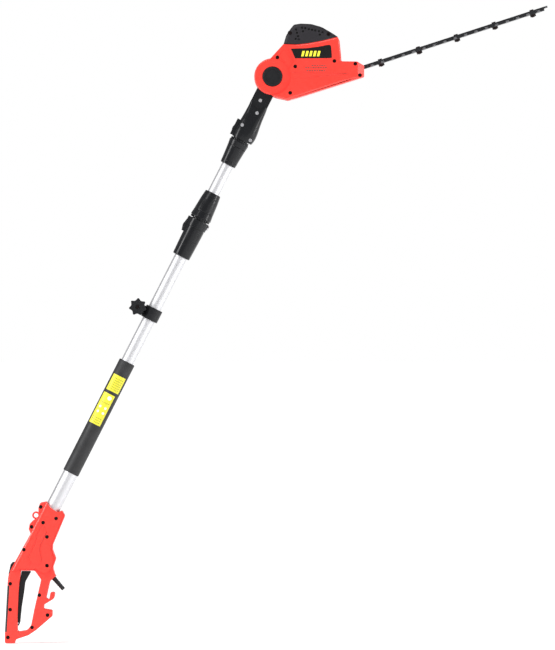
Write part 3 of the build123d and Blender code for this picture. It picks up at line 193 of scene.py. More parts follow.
# %% Sky
SKY_LIGHT = 0.36
SKY_SEEN = 1.0
world = bpy.data.worlds.new("studio")
world.use_nodes = True
sky = world.node_tree
sky_path = sky.nodes.new("ShaderNodeLightPath")
sky_range = sky.nodes.new("ShaderNodeMapRange")
sky_range.inputs["To Min"].default_value = SKY_LIGHT
sky_range.inputs["To Max"].default_value = SKY_SEEN
sky.links.new(sky_path.outputs["Is Camera Ray"], sky_range.inputs["Value"])
sky.nodes["Background"].inputs["Color"].default_value = (1, 1, 1, 1)
sky.links.new(sky_range.outputs["Result"], sky.nodes["Background"].inputs["Strength"])
bpy.context.scene.world = world
print("the sky lights at", SKY_LIGHT, "and shows as", SKY_SEEN)

# %% [markdown]
# ## Finishes
# Every finish here is procedural and reads Object coordinates. All pieces keep their
# object at the origin, so those coordinates are metres in the tool's own frame, and a
# pattern stays fixed to its piece. A small helper keeps the node wiring short.

# %% A helper for shader nodes
NOISE_ROUGHNESS = 0.55
NOISE_LOW = 0.3
NOISE_HIGH = 0.7


class Finish:
    """A material with a Principled shader and short ways to feed it."""

    def __init__(self, name, colour, roughness, metallic=0.0, coat=0.0):
        self.material = bpy.data.materials.new(name)
        self.material.use_nodes = True
        self.tree = self.material.node_tree
        self.shader = self.tree.nodes["Principled BSDF"]
        self.shader.inputs["Base Color"].default_value = (*colour, 1)
        self.shader.inputs["Roughness"].default_value = roughness
        self.shader.inputs["Metallic"].default_value = metallic
        self.shader.inputs["Coat Weight"].default_value = coat
        self.material.diffuse_color = (*colour, 1)

    def add(self, kind, **settings):
        """A node of this kind, with its properties set."""
        node = self.tree.nodes.new("ShaderNode" + kind)
        for key, value in settings.items():
            setattr(node, key, value)
        return node

    def join(self, source, target):
        self.tree.links.new(source, target)

    def place(self, turn=(0, 0, 0), stretch=(1, 1, 1)):
        """Object coordinates, turned and stretched."""
        coordinates = self.add("TexCoord")
        mapping = self.add("Mapping")
        mapping.inputs["Rotation"].default_value = turn
        mapping.inputs["Scale"].default_value = stretch
        self.join(coordinates.outputs["Object"], mapping.inputs["Vector"])
        return mapping.outputs["Vector"]

    def noise(self, size, detail=3.0, where=None):
        """Soft noise whose features are about size metres across."""
        node = self.add("TexNoise")
        node.inputs["Scale"].default_value = 1.0 / size
        node.inputs["Detail"].default_value = detail
        node.inputs["Roughness"].default_value = NOISE_ROUGHNESS
        self.join(where or self.place(), node.inputs["Vector"])
        return node.outputs["Fac"]

    def spread(self, value, low, high):
        """A 0 to 1 value mapped to low to high, with noise's middle band stretched."""
        node = self.add("MapRange")
        node.inputs["From Min"].default_value = NOISE_LOW
        node.inputs["From Max"].default_value = NOISE_HIGH
        node.inputs["To Min"].default_value = low
        node.inputs["To Max"].default_value = high
        self.join(value, node.inputs["Value"])
        return node.outputs["Result"]

    def mix(self, factor, first, second):
        """A colour between two; each is a colour or a socket."""
        node = self.add("Mix", data_type="RGBA")
        self.join(factor, node.inputs["Factor"])
        for key, colour in (("A", first), ("B", second)):
            socket = [s for s in node.inputs if s.name == key and s.type == "RGBA"][0]
            if isinstance(colour, tuple):
                socket.default_value = (*colour, 1)
            else:
                self.join(colour, socket)
        return [s for s in node.outputs if s.type == "RGBA"][0]

    def colour_from(self, socket):
        self.join(socket, self.shader.inputs["Base Color"])

    def roughness_from(self, socket):
        self.join(socket, self.shader.inputs["Roughness"])

    def bump(self, height, depth):
        """Raises the surface by up to depth metres."""
        node = self.add("Bump")
        node.inputs["Strength"].default_value = 1.0
        node.inputs["Distance"].default_value = depth
        self.join(height, node.inputs["Height"])
        self.join(node.outputs["Normal"], self.shader.inputs["Normal"])


def shade(colour, factor):
    """A colour made darker or lighter."""
    return tuple(min(1.0, part * factor) for part in colour)


# %% [markdown]
# Injection-moulded plastic is never quite even: the mould's spark-eroded skin gives it a
# fine grain, thick places shrink and shine a little more, and the pigment clouds slowly.
# One function makes all the plastics, from the semi-gloss red shells to the soft rubber.
# The couplings on the pole come from a polished mould, so their black is glossier.

# %% Moulded plastics
CLOUD_SIZE = 45 * MM
GLOSS_PATCH = 12 * MM


def moulded(name, colour, roughness, grain, grain_depth, coat=0.0, cloud=0.94, gloss=0.5):
    """A moulded plastic with its grain in metres."""
    finish = Finish(name, colour, roughness, coat=coat)
    finish.shader.inputs["Specular IOR Level"].default_value = gloss
    slow = finish.noise(CLOUD_SIZE, 2.0)
    finish.colour_from(finish.mix(finish.spread(slow, 0, 1), shade(colour, cloud), colour))
    patches = finish.noise(GLOSS_PATCH, 3.0)
    finish.roughness_from(finish.spread(patches, roughness - 0.05, roughness + 0.06))
    finish.bump(finish.noise(grain, 2.0), grain_depth)
    return finish


RED = (0.84, 0.034, 0.020)
# The darker red below is painted shade: the crease beads wear it to stand in for the shadow along
# each crease.
CREASE_SHADE_RED = shade(RED, 0.62)
CHARCOAL = (0.0075, 0.0080, 0.0095)
WARM_BLACK = (0.020, 0.0185, 0.022)
red_plastic = moulded("red_plastic", RED, 0.33, 0.0007, 0.00003, coat=0.15)
black_plastic = moulded("black_plastic", CHARCOAL, 0.36, 0.0006, 0.00005, gloss=0.28)
crease_painted_shade = moulded("crease_painted_shade", CREASE_SHADE_RED, 0.4, 0.0007, 0.00003)
coupling_black = moulded("coupling_black", CHARCOAL, 0.20, 0.0012, 0.00001, gloss=0.28)
vent_plastic = moulded("vent_plastic", WARM_BLACK, 0.46, 0.0006, 0.00005, gloss=0.22)
badge_black = moulded("badge_black", (0.006, 0.005, 0.005), 0.25, 0.002, 0.00001, gloss=0.3)
soft_rubber = moulded("soft_rubber", (0.018, 0.018, 0.020), 0.62, 0.0005, 0.00008, gloss=0.3)
print("plastics:", [m.name for m in bpy.data.materials])

# %% [markdown]
# The grip sleeve is a thin foam tube. Its skin has closed cells that show as a very fine
# speckle, and hands polish it, so its gloss comes and goes along its length.

# %% Foam sleeve
FOAM_CELL = 0.9 * MM
grip_foam = Finish("grip_foam", (0.016, 0.016, 0.018), 0.5)
grip_foam.shader.inputs["Specular IOR Level"].default_value = 0.4
cells = grip_foam.add("TexVoronoi")
cells.inputs["Scale"].default_value = 1 / FOAM_CELL
grip_foam.join(grip_foam.place(), cells.inputs["Vector"])
grip_foam.bump(cells.outputs["Distance"], 0.00008)
grip_foam.roughness_from(grip_foam.spread(grip_foam.noise(0.05, 2.0), 0.42, 0.6))
foam_cloud = grip_foam.spread(grip_foam.noise(0.02, 4.0), 0, 1)
grip_foam.colour_from(grip_foam.mix(foam_cloud, (0.012, 0.012, 0.013), (0.021, 0.021, 0.023)))
print("foam cells of", round(FOAM_CELL / MM, 1), "mm")

# %% [markdown]
# The tubes are drawn and anodised aluminium. Drawing leaves hair lines along the tube and
# the etch before anodising turns them silky, so the metal reads almost white. The noise is
# turned to the pole and squeezed across it, which makes it run in lines.

# %% Metals
POLE_TURN = (0, math.atan2(-pole_axis.x, pole_axis.z), 0)
BLADE_TURN = (0, math.atan2(blade_axis.z, blade_axis.x), 0)
NO_TURN = (0, 0, 0)
EVEN = (1, 1, 1)


def metal(name, colour, roughness, turn, stretch, line_depth, line_size=0.0006):
    """A metal with fine lines along one direction."""
    finish = Finish(name, colour, roughness, metallic=1.0)
    lines = finish.noise(line_size, 3.0, finish.place(turn, stretch))
    finish.bump(lines, line_depth)
    finish.roughness_from(finish.spread(lines, roughness - 0.06, roughness + 0.08))
    cloud = finish.noise(0.03, 3.0)
    finish.colour_from(finish.mix(finish.spread(cloud, 0, 1), shade(colour, 0.93), colour))
    return finish


satin_aluminium = metal(
    "satin_aluminium", (0.66, 0.66, 0.68), 0.48, POLE_TURN, (1, 1, 0.03), 0.000008)
cast_aluminium = metal("cast_aluminium", (0.55, 0.55, 0.56), 0.55, NO_TURN, EVEN, 0.00006, 0.0012)
zinc_steel = metal("zinc_steel", (0.60, 0.60, 0.62), 0.34, NO_TURN, EVEN, 0.00001, 0.0008)
motor_steel = metal("motor_steel", (0.32, 0.32, 0.34), 0.42, BLADE_TURN, (1, 1, 0.05), 0.00002)
carbon = moulded("carbon", (0.02, 0.02, 0.02), 0.7, 0.0004, 0.00005)
print("metals and carbon for the tubes, the gear case, the screws and the motor")


# %% [markdown]
# ## Eased edges
# A CAD solid has perfectly sharp edges. A moulding never has: its corners are a few tenths
# of a millimetre round, and that thin line of light is what makes plastic look real. Each
# visible node is copied, its loose triangles are merged and joined into flat faces, and a
# Bevel modifier rounds what is still sharp. The copy then stands for the node.

# %% Copy, merge and bevel a CAD node
SAME_POINT = 0.002 * MM
FLAT_ANGLE = math.radians(0.4)
BEVEL_ANGLE = math.radians(32)
SMOOTH_ANGLE = math.radians(40)


def plain_mesh(piece):
    """Turns whatever modifiers a piece has into its own plain mesh."""
    graph = bpy.context.evaluated_depsgraph_get()
    made = bpy.data.meshes.new_from_object(piece.evaluated_get(graph))
    piece.modifiers.clear()
    piece.data = made
    made.name = piece.name


def new_piece(name, mesh, finish):
    """An object at the origin with one finish."""
    piece = bpy.data.objects.new(name, mesh)
    bpy.context.scene.collection.objects.link(piece)
    mesh.materials.clear()
    mesh.materials.append(finish.material)
    return piece


def merged_copy(node):
    """The node's triangles as one closed mesh of flat faces."""
    mesh = nodes[node].data.copy()
    for extra in ("custom_normal", "sharp_face", "sharp_edge"):
        if extra in mesh.attributes:
            mesh.attributes.remove(mesh.attributes[extra])
    work = bmesh.new()
    work.from_mesh(mesh)
    bmesh.ops.remove_doubles(work, verts=work.verts, dist=SAME_POINT)
    bmesh.ops.dissolve_degenerate(work, edges=work.edges, dist=SAME_POINT / 2)
    bmesh.ops.dissolve_limit(
        work, angle_limit=FLAT_ANGLE, verts=work.verts, edges=work.edges)
    work.to_mesh(mesh)
    work.free()
    return mesh


def smoothed(piece, angle=SMOOTH_ANGLE):
    """Smooth shading that breaks where two faces meet at more than the angle."""
    piece.data.shade_smooth()
    piece.data.set_sharp_from_angle(angle=angle)


def eased(node, finish, width):
    """A copy of a CAD node with rounded edges, in place of the node."""
    piece = new_piece(node + "_eased", merged_copy(node), finish)
    bevel = piece.modifiers.new("edges", "BEVEL")
    bevel.width = width
    bevel.segments = 2
    bevel.limit_method = "ANGLE"
    bevel.angle_limit = BEVEL_ANGLE
    bevel.use_clamp_overlap = True
    bevel.miter_outer = "MITER_ARC"
    plain_mesh(piece)
    smoothed(piece)
    weighted = piece.modifiers.new("normals", "WEIGHTED_NORMAL")
    weighted.keep_sharp = True
    plain_mesh(piece)
    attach(piece, nodes[node]["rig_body"])
    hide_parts(node)


print("edges are eased where faces turn by more than", round(math.degrees(BEVEL_ANGLE)), "degrees")

# %% [markdown]
# The trimmer's blades are blackened steel, which holds oil and keeps rust away. Only the
# teeth are ground bright again, so the finish looks at how far a point lies from the
# blade's middle line. Screws in the red shells are blackened too, and labels are printed
# vinyl.

# %% Blade steel, black screws and vinyl
TOOTH_ROOT = 13.5 * MM
TOOTH_GROUND = 16.0 * MM
BRIGHT_STEEL = (0.20, 0.20, 0.21)

blade_steel = metal("blade_steel", (0.055, 0.056, 0.060), 0.36, BLADE_TURN, (0.05, 1, 1), 0.00001)
place_on_blade = blade_steel.add("TexCoord")
across_blade = blade_steel.add("SeparateXYZ")
blade_steel.join(place_on_blade.outputs["Object"], across_blade.inputs["Vector"])
from_middle = blade_steel.add("Math", operation="ABSOLUTE")
blade_steel.join(across_blade.outputs["Y"], from_middle.inputs[0])
ground = blade_steel.add("MapRange")
ground.inputs["From Min"].default_value = TOOTH_ROOT
ground.inputs["From Max"].default_value = TOOTH_GROUND
blade_steel.join(from_middle.outputs["Value"], ground.inputs["Value"])
blackened = blade_steel.shader.inputs["Base Color"].links[0].from_socket
blade_steel.colour_from(blade_steel.mix(ground.outputs["Result"], blackened, BRIGHT_STEEL))

black_steel = metal("black_steel", (0.030, 0.022, 0.022), 0.45, NO_TURN, EVEN, 0.00001, 0.0008)
yellow_label = moulded("yellow_label", (0.70, 0.66, 0.035), 0.42, 0.0012, 0.00001, cloud=0.97)
print_dark = moulded("print_dark", (0.05, 0.045, 0.04), 0.5, 0.0008, 0.00001)
print_yellow = moulded("print_yellow", (0.88, 0.80, 0.04), 0.4, 0.0008, 0.00001)
print_white = moulded("print_white", (0.82, 0.82, 0.80), 0.45, 0.0008, 0.00001)
print("finishes:", len(bpy.data.materials))

# %% [markdown]
# ## Dressing the CAD nodes
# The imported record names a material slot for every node. We give each node the finish of
# its slot. Then every node that can be seen from outside gets its eased copy, and what
# sits deep inside the housings keeps its CAD mesh.

# %% Finishes by slot
finish_of_slot = {
    "red_plastic": red_plastic, "black_plastic": black_plastic, "badge_black": badge_black,
    "soft_rubber": soft_rubber, "grip_foam": grip_foam, "yellow_label": yellow_label,
    "satin_aluminium": satin_aluminium, "cast_aluminium": cast_aluminium,
    "zinc_steel": zinc_steel, "black_steel": black_steel, "motor_steel": motor_steel,
    "carbon": carbon, "blade_steel": blade_steel,
}
finish_of_node = {
    row["node"]: finish_of_slot[row["material_slot"]] for row in frame["record"]["subparts"]
}
finish_of_node["vent_cover_left"] = vent_plastic
finish_of_node["vent_cover_right"] = vent_plastic
finish_of_node["strap_clamp_bolt"] = black_steel
finish_of_node["blade_bolts"] = black_steel
for name in ("coupling_sleeve", "coupling_lock_nut", "neck_lock_nut", "neck_housing_left",
             "neck_housing_right", "coupling_latch_button", "neck_latch_button"):
    finish_of_node[name] = coupling_black
for name, finish in finish_of_node.items():
    nodes[name].data.materials.clear()
    nodes[name].data.materials.append(finish.material)
print("dressed", len(finish_of_node), "nodes")

# %% Eased copies of what shows
SHELL_EDGE = 0.5 * MM
FINE_EDGE = 0.2 * MM
shells = [
    "rear_housing_left", "rear_housing_right", "head_housing_left", "head_housing_right",
    "vent_cover_left", "vent_cover_right", "neck_housing_left", "neck_housing_right",
    "coupling_sleeve", "strap_clamp_band", "strap_clamp_knob", "tilt_button", "tilt_cap",
    "trigger", "lock_off_button", "back_grip_pad", "foot_pad",
]
fine_pieces = [
    "coupling_lock_nut", "neck_lock_nut", "coupling_latch_button", "neck_latch_button",
    "strain_relief_boot", "grip_sleeve", "grip_labels", "badge_panels", "handle_screws",
    "head_screws", "neck_screws", "coupling_screw", "strap_clamp_bolt", "upper_blade",
    "lower_blade", "guide_bar", "blade_bolts", "handle_tube", "middle_tube", "upper_tube",
]
for names, width in ((shells, SHELL_EDGE), (fine_pieces, FINE_EDGE)):
    for name in names:
        eased(name, finish_of_node[name], width)
print("eased", len(shells) + len(fine_pieces), "nodes")

# %% [markdown]
# ## Beads and seams
# Mouldings carry thin raised lines: a bead round a panel, the lip of a seam. Each one is a
# round profile swept along a line and sunk halfway into the wall. A Geometry Nodes tree
# does the sweeping, so a new line is only a few more corner points. The tree ends in
# Realize Instances and Set Material, and the result is turned into a plain mesh.

# %% Helpers for node trees
def new_tree(name, settings):
    """A Geometry Nodes tree with geometry in and out and named number inputs."""
    tree = bpy.data.node_groups.new(name, "GeometryNodeTree")
    tree.interface.new_socket("Geometry", in_out="INPUT", socket_type="NodeSocketGeometry")
    for label, value in settings.items():
        kind = "NodeSocketInt" if isinstance(value, int) else "NodeSocketFloat"
        tree.interface.new_socket(label, in_out="INPUT", socket_type=kind).default_value = value
    tree.interface.new_socket("Geometry", in_out="OUTPUT", socket_type="NodeSocketGeometry")
    start = tree.nodes.new("NodeGroupInput")
    return tree, start


def tree_node(tree, kind, **settings):
    """A node of the tree with its properties set."""
    node = tree.nodes.new(kind)
    for key, value in settings.items():
        setattr(node, key, value)
    return node


def finish_tree(tree, geometry, finish):
    """Closes a tree: real geometry, one finish."""
    real = tree_node(tree, "GeometryNodeRealizeInstances")
    paint = tree_node(tree, "GeometryNodeSetMaterial")
    paint.inputs["Material"].default_value = finish.material
    end = tree_node(tree, "NodeGroupOutput")
    tree.links.new(geometry, real.inputs["Geometry"])
    tree.links.new(real.outputs["Geometry"], paint.inputs["Geometry"])
    tree.links.new(paint.outputs["Geometry"], end.inputs[0])


def grown(name, mesh, tree, finish, settings, place, body):
    """Runs a tree on a mesh, keeps the plain result and puts it on a body."""
    piece = new_piece(name, mesh, finish)
    modifier = piece.modifiers.new("grow", "NODES")
    modifier.node_group = tree
    for item in tree.interface.items_tree:
        if item.in_out == "INPUT" and item.name in settings:
            modifier[item.identifier] = settings[item.name]
    plain_mesh(piece)
    piece.data.transform(place)
    smoothed(piece)
    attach(piece, body)
    print(name, len(piece.data.polygons), "faces")


def line_mesh(name, lines):
    """A mesh of open lines from lists of points."""
    points = []
    edges = []
    for line in lines:
        first = len(points)
        points += line
        edges += [(first + step, first + step + 1) for step in range(len(line) - 1)]
    mesh = bpy.data.meshes.new(name)
    mesh.from_pydata(points, edges, [])
    return mesh


# %% A tree that sweeps a bead along lines
def bead_tree(name, finish):
    """Round beads along the edges of the mesh that the tree is given."""
    tree, start = new_tree(name, {"Radius": 0.6 * MM, "Sides": 8})
    line = tree_node(tree, "GeometryNodeMeshToCurve")
    profile = tree_node(tree, "GeometryNodeCurvePrimitiveCircle")
    sweep = tree_node(tree, "GeometryNodeCurveToMesh")
    sweep.inputs["Fill Caps"].default_value = True
    tree.links.new(start.outputs["Geometry"], line.inputs["Mesh"])
    tree.links.new(start.outputs["Radius"], profile.inputs["Radius"])
    tree.links.new(start.outputs["Sides"], profile.inputs["Resolution"])
    tree.links.new(line.outputs["Curve"], sweep.inputs["Curve"])
    tree.links.new(profile.outputs["Curve"], sweep.inputs["Profile Curve"])
    finish_tree(tree, sweep.outputs["Mesh"], finish)
    return tree


def on_both_sides(corners, half_width):
    """The same line of (x, z) corners in millimetres, on both sides of the tool."""
    return [
        [(x * MM, side * half_width * MM, z * MM) for x, z in corners] for side in (-1, 1)
    ]


# %% Beads on the head
HEAD_WALL = 38.0
COVER_WALL = 34.9
CREASE_RADIUS = 0.45 * MM
SEAM_RADIUS = 0.8 * MM
body_creases = (
    on_both_sides([(43, 8.5), (80, 8.2), (120, 7.6), (166, 6.4)], HEAD_WALL)
    + on_both_sides([(45, -4.5), (80, -3.0), (120, 1.6), (166, 6.0)], HEAD_WALL)
    + on_both_sides([(38.5, 62), (50.5, 33.5), (53, 26)], HEAD_WALL)
)
# The crease beads are raised lines, and their darker red finish is painted shade along each
# crease.
crease_tree = bead_tree("crease_tree", crease_painted_shade)
grown("head_creases", line_mesh("head_creases", body_creases), crease_tree,
      crease_painted_shade, {"Radius": CREASE_RADIUS}, HEAD, "head")

seam = on_both_sides([(25.5, 72.0), (40, 71.4), (52, 71.2), (66, 72.2), (80, 74.2), (96, 77.0),
                      (112, 80.2), (128, 84.1), (142, 88.0)], COVER_WALL)
grown("vent_seam", line_mesh("vent_seam", seam), bead_tree("seam_tree", badge_black),
      badge_black, {"Radius": SEAM_RADIUS}, HEAD, "head")

# %% Beads on the handle
BAND_WALL = 23.4
HANDLE_SHIFT = 9.5
HANDLE = Matrix.Translation((HANDLE_SHIFT * MM, 0, 0))
rear_crease = [(60, 262), (50, 240), (45, 220), (30, 190), (36, 176.5)]
front_crease = [(57, 180), (59, 184), (54, 206), (56, 216), (70, 246)]
handle_lines = on_both_sides(rear_crease, BAND_WALL) + on_both_sides(front_crease, BAND_WALL)
# The handle's crease beads wear the same darker red, painted shade along each crease.
grown("handle_creases", line_mesh("handle_creases", handle_lines), crease_tree,
      crease_painted_shade, {"Radius": CREASE_RADIUS}, HANDLE, "handle")


# %% Rings on the lock nuts
RING_CORNERS = 48
RING_RADIUS = 0.55 * MM
COUPLING_NUT_ENDS = ((1044.5, 24.0), (1110.5, 17.8))
NECK_NUT_ENDS = ((1241.5, 22.4), (1180.5, 17.6))


def ring_line(radius, along):
    """The points of a ring round the pole, from millimetres."""
    angles = [math.tau * step / RING_CORNERS for step in range(RING_CORNERS)]
    return [(radius * math.cos(a) * MM, radius * math.sin(a) * MM, along * MM) for a in angles]


def ring_mesh(name, rings):
    """A mesh of closed rings."""
    points = []
    edges = []
    for ring in rings:
        first = len(points)
        points += ring
        edges += [(first + k, first + (k + 1) % len(ring)) for k in range(len(ring))]
    mesh = bpy.data.meshes.new(name)
    mesh.from_pydata(points, edges, [])
    return mesh


def nut_rings(ends, places):
    """Rings on a tapered nut, given its two (place along the pole, radius) ends."""
    (base_at, base), (tip_at, tip) = ends
    taper = (tip - base) / (tip_at - base_at)
    return [ring_line(base + taper * (along - base_at), along) for along in places]


coupling_rings = nut_rings(COUPLING_NUT_ENDS, (1065, 1103))
neck_rings = nut_rings(NECK_NUT_ENDS, (1223, 1188))
ring_tree = bead_tree("nut_ring_tree", coupling_black)
grown("coupling_nut_rings", ring_mesh("coupling_nut_rings", coupling_rings), ring_tree,
      coupling_black, {"Radius": RING_RADIUS}, POLE, "coupling_nut")
grown("neck_nut_rings", ring_mesh("neck_nut_rings", neck_rings), ring_tree, coupling_black,
      {"Radius": RING_RADIUS}, POLE, "neck_nut")

# %% [markdown]
# ## Behind the vents
# A vent is a row of holes with darkness behind it, and that darkness is painted shade: a
# near-black closed thin plate, cut to the shape of the cover, stands behind each vented wall.
# A row of slats, made by a tree that repeats one upright bar, stands on each plate in the
# same black.

# %% Baffles
# Widths of the near-black plates that paint the shade behind the vents.
SHADE_PLATE_INNER = 29.2
SHADE_PLATE_OUTER = 30.2
cover_outline = [
    (33, 76), (37, 90), (45, 101), (52, 108), (64, 110), (84, 109), (105, 103), (122, 95),
    (128, 88), (112, 83), (80, 77), (52, 74),
]


def plate(name, corners, low, high, finish):
    """A closed flat plate on the head between two widths, in millimetres."""
    work = bmesh.new()
    near = [work.verts.new((x * MM, low * MM, z * MM)) for x, z in corners]
    far = [work.verts.new((x * MM, high * MM, z * MM)) for x, z in corners]
    work.faces.new(near)
    work.faces.new(list(reversed(far)))
    for index, point in enumerate(near):
        after = (index + 1) % len(near)
        work.faces.new((near[after], point, far[index], far[after]))
    bmesh.ops.recalc_face_normals(work, faces=work.faces)
    mesh = bpy.data.meshes.new(name)
    work.to_mesh(mesh)
    work.free()
    mesh.transform(HEAD)
    return new_piece(name, mesh, finish)


# Each plate is badge black, painted shade seen through the vent holes.
shade_plate_walls = (("right", -SHADE_PLATE_OUTER, -SHADE_PLATE_INNER), ("left", SHADE_PLATE_INNER, SHADE_PLATE_OUTER))
for side, low, high in shade_plate_walls:
    shade_plate = plate("vent_shade_plate_" + side, cover_outline, low, high, badge_black)
    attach(shade_plate, "head")
print("two baffles behind the vents")


# %% Slats on the plates of painted shade
SLAT_THICKNESS = 1.0 * MM
SLAT_DEPTH = 1.6 * MM
SLAT_MIDDLE = 28.6 * MM


def slat_tree(finish):
    """A row of upright bars on both sides, placed by count and pitch."""
    tree, start = new_tree("slat_tree", {"Pitch": 8 * MM, "Height": 20 * MM, "Count": 9})
    row = tree_node(tree, "GeometryNodeMeshLine")
    step = tree_node(tree, "ShaderNodeCombineXYZ")
    bar = tree_node(tree, "GeometryNodeMeshCube")
    size = tree_node(tree, "ShaderNodeCombineXYZ")
    size.inputs["X"].default_value = SLAT_THICKNESS
    size.inputs["Y"].default_value = SLAT_DEPTH
    stand = tree_node(tree, "GeometryNodeInstanceOnPoints")
    sides = tree_node(tree, "GeometryNodeInstanceOnPoints")
    tree.links.new(start.outputs["Pitch"], step.inputs["X"])
    tree.links.new(start.outputs["Count"], row.inputs["Count"])
    tree.links.new(step.outputs["Vector"], row.inputs["Offset"])
    tree.links.new(start.outputs["Height"], size.inputs["Z"])
    tree.links.new(size.outputs["Vector"], bar.inputs["Size"])
    tree.links.new(row.outputs["Mesh"], stand.inputs["Points"])
    tree.links.new(bar.outputs["Mesh"], stand.inputs["Instance"])
    tree.links.new(start.outputs["Geometry"], sides.inputs["Points"])
    tree.links.new(stand.outputs["Instances"], sides.inputs["Instance"])
    finish_tree(tree, sides.outputs["Instances"], finish)
    return tree


slat_starts = bpy.data.meshes.new("slat_starts")
slat_starts.from_pydata([(45 * MM, side * SLAT_MIDDLE, 86 * MM) for side in (-1, 1)], [], [])
# The slats are black too, part of the painted shade behind the vents.
grown("vent_slats", slat_starts, slat_tree(badge_black), badge_black,
      {"Pitch": 8 * MM, "Height": 20 * MM, "Count": 9}, HEAD, "head")

# %% [markdown]
# ## Print
# The panel on the head carries a plain row of slanted bars instead of words, and the
# labels on the sleeve carry dots and dashes. Every mark is a thin solid that stands a
# fraction of a millimetre proud. Dashes, dots and small marks are set on points by a tree.
# On the sleeve the tree turns each mark to face away from the pole's axis, so that it lies
# on the round surface.

# %% Slanted bars on the panel
BADGE_FACE = 37.5
BAR_SUNK = 0.3
BAR_PROUD = 0.1


def slanted_bars(name, first, pitch, width, slant, low, high, count, finish):
    """Parallel slanted bars on both sides of the head, in millimetres."""
    work = bmesh.new()
    for side in (-1, 1):
        under = side * (BADGE_FACE - BAR_SUNK) * MM
        over = side * (BADGE_FACE + BAR_PROUD) * MM
        for index in range(count):
            x = first + pitch * index
            corners = [(x, low), (x + width, low), (x + width + slant, high), (x + slant, high)]
            inner = [work.verts.new((a * MM, under, b * MM)) for a, b in corners]
            outer = [work.verts.new((a * MM, over, b * MM)) for a, b in corners]
            work.faces.new(inner)
            work.faces.new(outer)
            for k in range(4):
                work.faces.new((inner[k], inner[(k + 1) % 4], outer[(k + 1) % 4], outer[k]))
    bmesh.ops.recalc_face_normals(work, faces=work.faces)
    mesh = bpy.data.meshes.new(name)
    work.to_mesh(mesh)
    work.free()
    mesh.transform(HEAD)
    piece = new_piece(name, mesh, finish)
    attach(piece, "head")


slanted_bars("badge_bars", first=63, pitch=8.6, width=5.4, slant=3.0, low=44, high=56, count=5,
             finish=print_yellow)
print("bars on both panels")


# %% A tree for dashes on a flat wall
DASH_SEED = 7
DASH_HEIGHT = 2.0 * MM
DASH_THICKNESS = 0.3 * MM
SHORTEST_DASH = 0.55
DASH_PITCH = 5.4


def dash_tree(finish):
    """A short bar on every point, its length drawn at random from a fixed seed."""
    tree, start = new_tree("dash_tree", {"Length": 4 * MM, "Seed": DASH_SEED})
    bar = tree_node(tree, "GeometryNodeMeshCube")
    bar.inputs["Size"].default_value = (1, DASH_THICKNESS, DASH_HEIGHT)
    draw = tree_node(tree, "FunctionNodeRandomValue", data_type="FLOAT")
    draw.inputs[2].default_value = SHORTEST_DASH
    draw.inputs[3].default_value = 1.0
    length = tree_node(tree, "ShaderNodeMath", operation="MULTIPLY")
    scale = tree_node(tree, "ShaderNodeCombineXYZ")
    scale.inputs["Y"].default_value = 1
    scale.inputs["Z"].default_value = 1
    put = tree_node(tree, "GeometryNodeInstanceOnPoints")
    tree.links.new(start.outputs["Seed"], draw.inputs["Seed"])
    tree.links.new(draw.outputs[1], length.inputs[0])
    tree.links.new(start.outputs["Length"], length.inputs[1])
    tree.links.new(length.outputs["Value"], scale.inputs["X"])
    tree.links.new(start.outputs["Geometry"], put.inputs["Points"])
    tree.links.new(bar.outputs["Mesh"], put.inputs["Instance"])
    tree.links.new(scale.outputs["Vector"], put.inputs["Scale"])
    finish_tree(tree, put.outputs["Instances"], finish)
    return tree


dash_points = [
    (x * MM, side * HEAD_WALL * MM, z * MM)
    for side in (-1, 1)
    for z, first, count in ((24, 88, 6), (19, 74, 9), (12.5, 77, 8))
    for x in [first + DASH_PITCH * k for k in range(count)]
]
dashes = bpy.data.meshes.new("head_print")
dashes.from_pydata(dash_points, [], [])
grown("head_print", dashes, dash_tree(print_dark), print_dark, {"Length": 4.4 * MM}, HEAD,
      "head")


# %% A tree for marks on the round sleeve
MARK_THICKNESS = 0.9 * MM
LABEL_RADIUS = 18.6


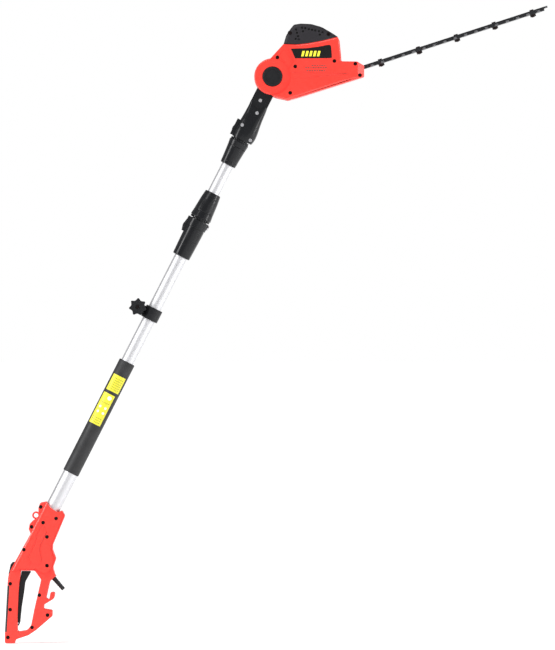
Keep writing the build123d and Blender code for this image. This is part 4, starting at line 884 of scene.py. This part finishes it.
def mark_tree(name, finish, sides):
    """A flat disc on every point, facing away from the pole's axis."""
    tree, start = new_tree(name, {"Radius": 3 * MM, "Thickness": MARK_THICKNESS})
    disc = tree_node(tree, "GeometryNodeMeshCylinder")
    disc.inputs["Vertices"].default_value = sides
    where = tree_node(tree, "GeometryNodeInputPosition")
    flat = tree_node(tree, "ShaderNodeVectorMath", operation="MULTIPLY")
    flat.inputs[1].default_value = (1, 1, 0)
    turn = tree_node(tree, "FunctionNodeAlignRotationToVector", axis="Z")
    put = tree_node(tree, "GeometryNodeInstanceOnPoints")
    tree.links.new(start.outputs["Radius"], disc.inputs["Radius"])
    tree.links.new(start.outputs["Thickness"], disc.inputs["Depth"])
    tree.links.new(where.outputs["Position"], flat.inputs[0])
    tree.links.new(flat.outputs["Vector"], turn.inputs["Vector"])
    tree.links.new(start.outputs["Geometry"], put.inputs["Points"])
    tree.links.new(disc.outputs["Mesh"], put.inputs["Instance"])
    tree.links.new(turn.outputs["Rotation"], put.inputs["Rotation"])
    finish_tree(tree, put.outputs["Instances"], finish)
    return tree


def on_sleeve(places):
    """Points on the right side of the sleeve from (offset, along) in millimetres."""
    return [
        (x * MM, -math.sqrt(LABEL_RADIUS ** 2 - x ** 2) * MM, along * MM) for x, along in places
    ]


def sleeve_marks(name, places, radius, finish, sides):
    """Round marks on the sleeve, with this many sides."""
    mesh = bpy.data.meshes.new(name)
    mesh.from_pydata(on_sleeve(places), [], [])
    grown(name, mesh, mark_tree(name + "_tree", finish, sides), finish,
          {"Radius": radius, "Thickness": MARK_THICKNESS}, POLE, "handle")


MARK_PITCH = 3.5
long_row = [-11 + MARK_PITCH * k for k in range(7)]
short_row = [-12 + MARK_PITCH * k for k in range(6)]
dark_marks = [(x, along) for along in (626, 631, 636, 641, 646, 651) for x in long_row]
dark_marks += [(x, along) for along in (545, 550, 555, 592) for x in short_row]
sleeve_marks("label_large_dot", [(2, 605)], 4.6 * MM, print_white, 24)
sleeve_marks("label_dots", [(-8.5, 581), (4, 581), (-8.5, 569), (4, 569)], 2.8 * MM,
             print_white, 20)
sleeve_marks("label_marks", dark_marks, 0.75 * MM, print_dark, 6)

# %% [markdown]
# ## Springs behind the buttons
# A press button pushes its spring against the wall behind it. Each spring is copied with
# smooth shading, stays with the housing that the button's joint names as its parent, and
# stands in for its node.

# %% Springs behind the press buttons
COIL_ANGLE = math.radians(60)


def pressed_spring(node, joint_name, finish):
    """A copy of a spring that stays with the housing behind its button."""
    joint = joints[joint_name]
    spring = new_piece(node + "_live", merged_copy(node), finish)
    smoothed(spring, COIL_ANGLE)
    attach(spring, joint["parent"])
    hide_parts(node)
    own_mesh(spring)


springs = {
    "coupling_latch_spring": "coupling_latch_press", "neck_latch_spring": "neck_latch_press",
    "lock_off_spring": "lock_off_press", "tilt_button_spring": "tilt_button_press",
}
for node, joint_name in springs.items():
    pressed_spring(node, joint_name, zinc_steel)
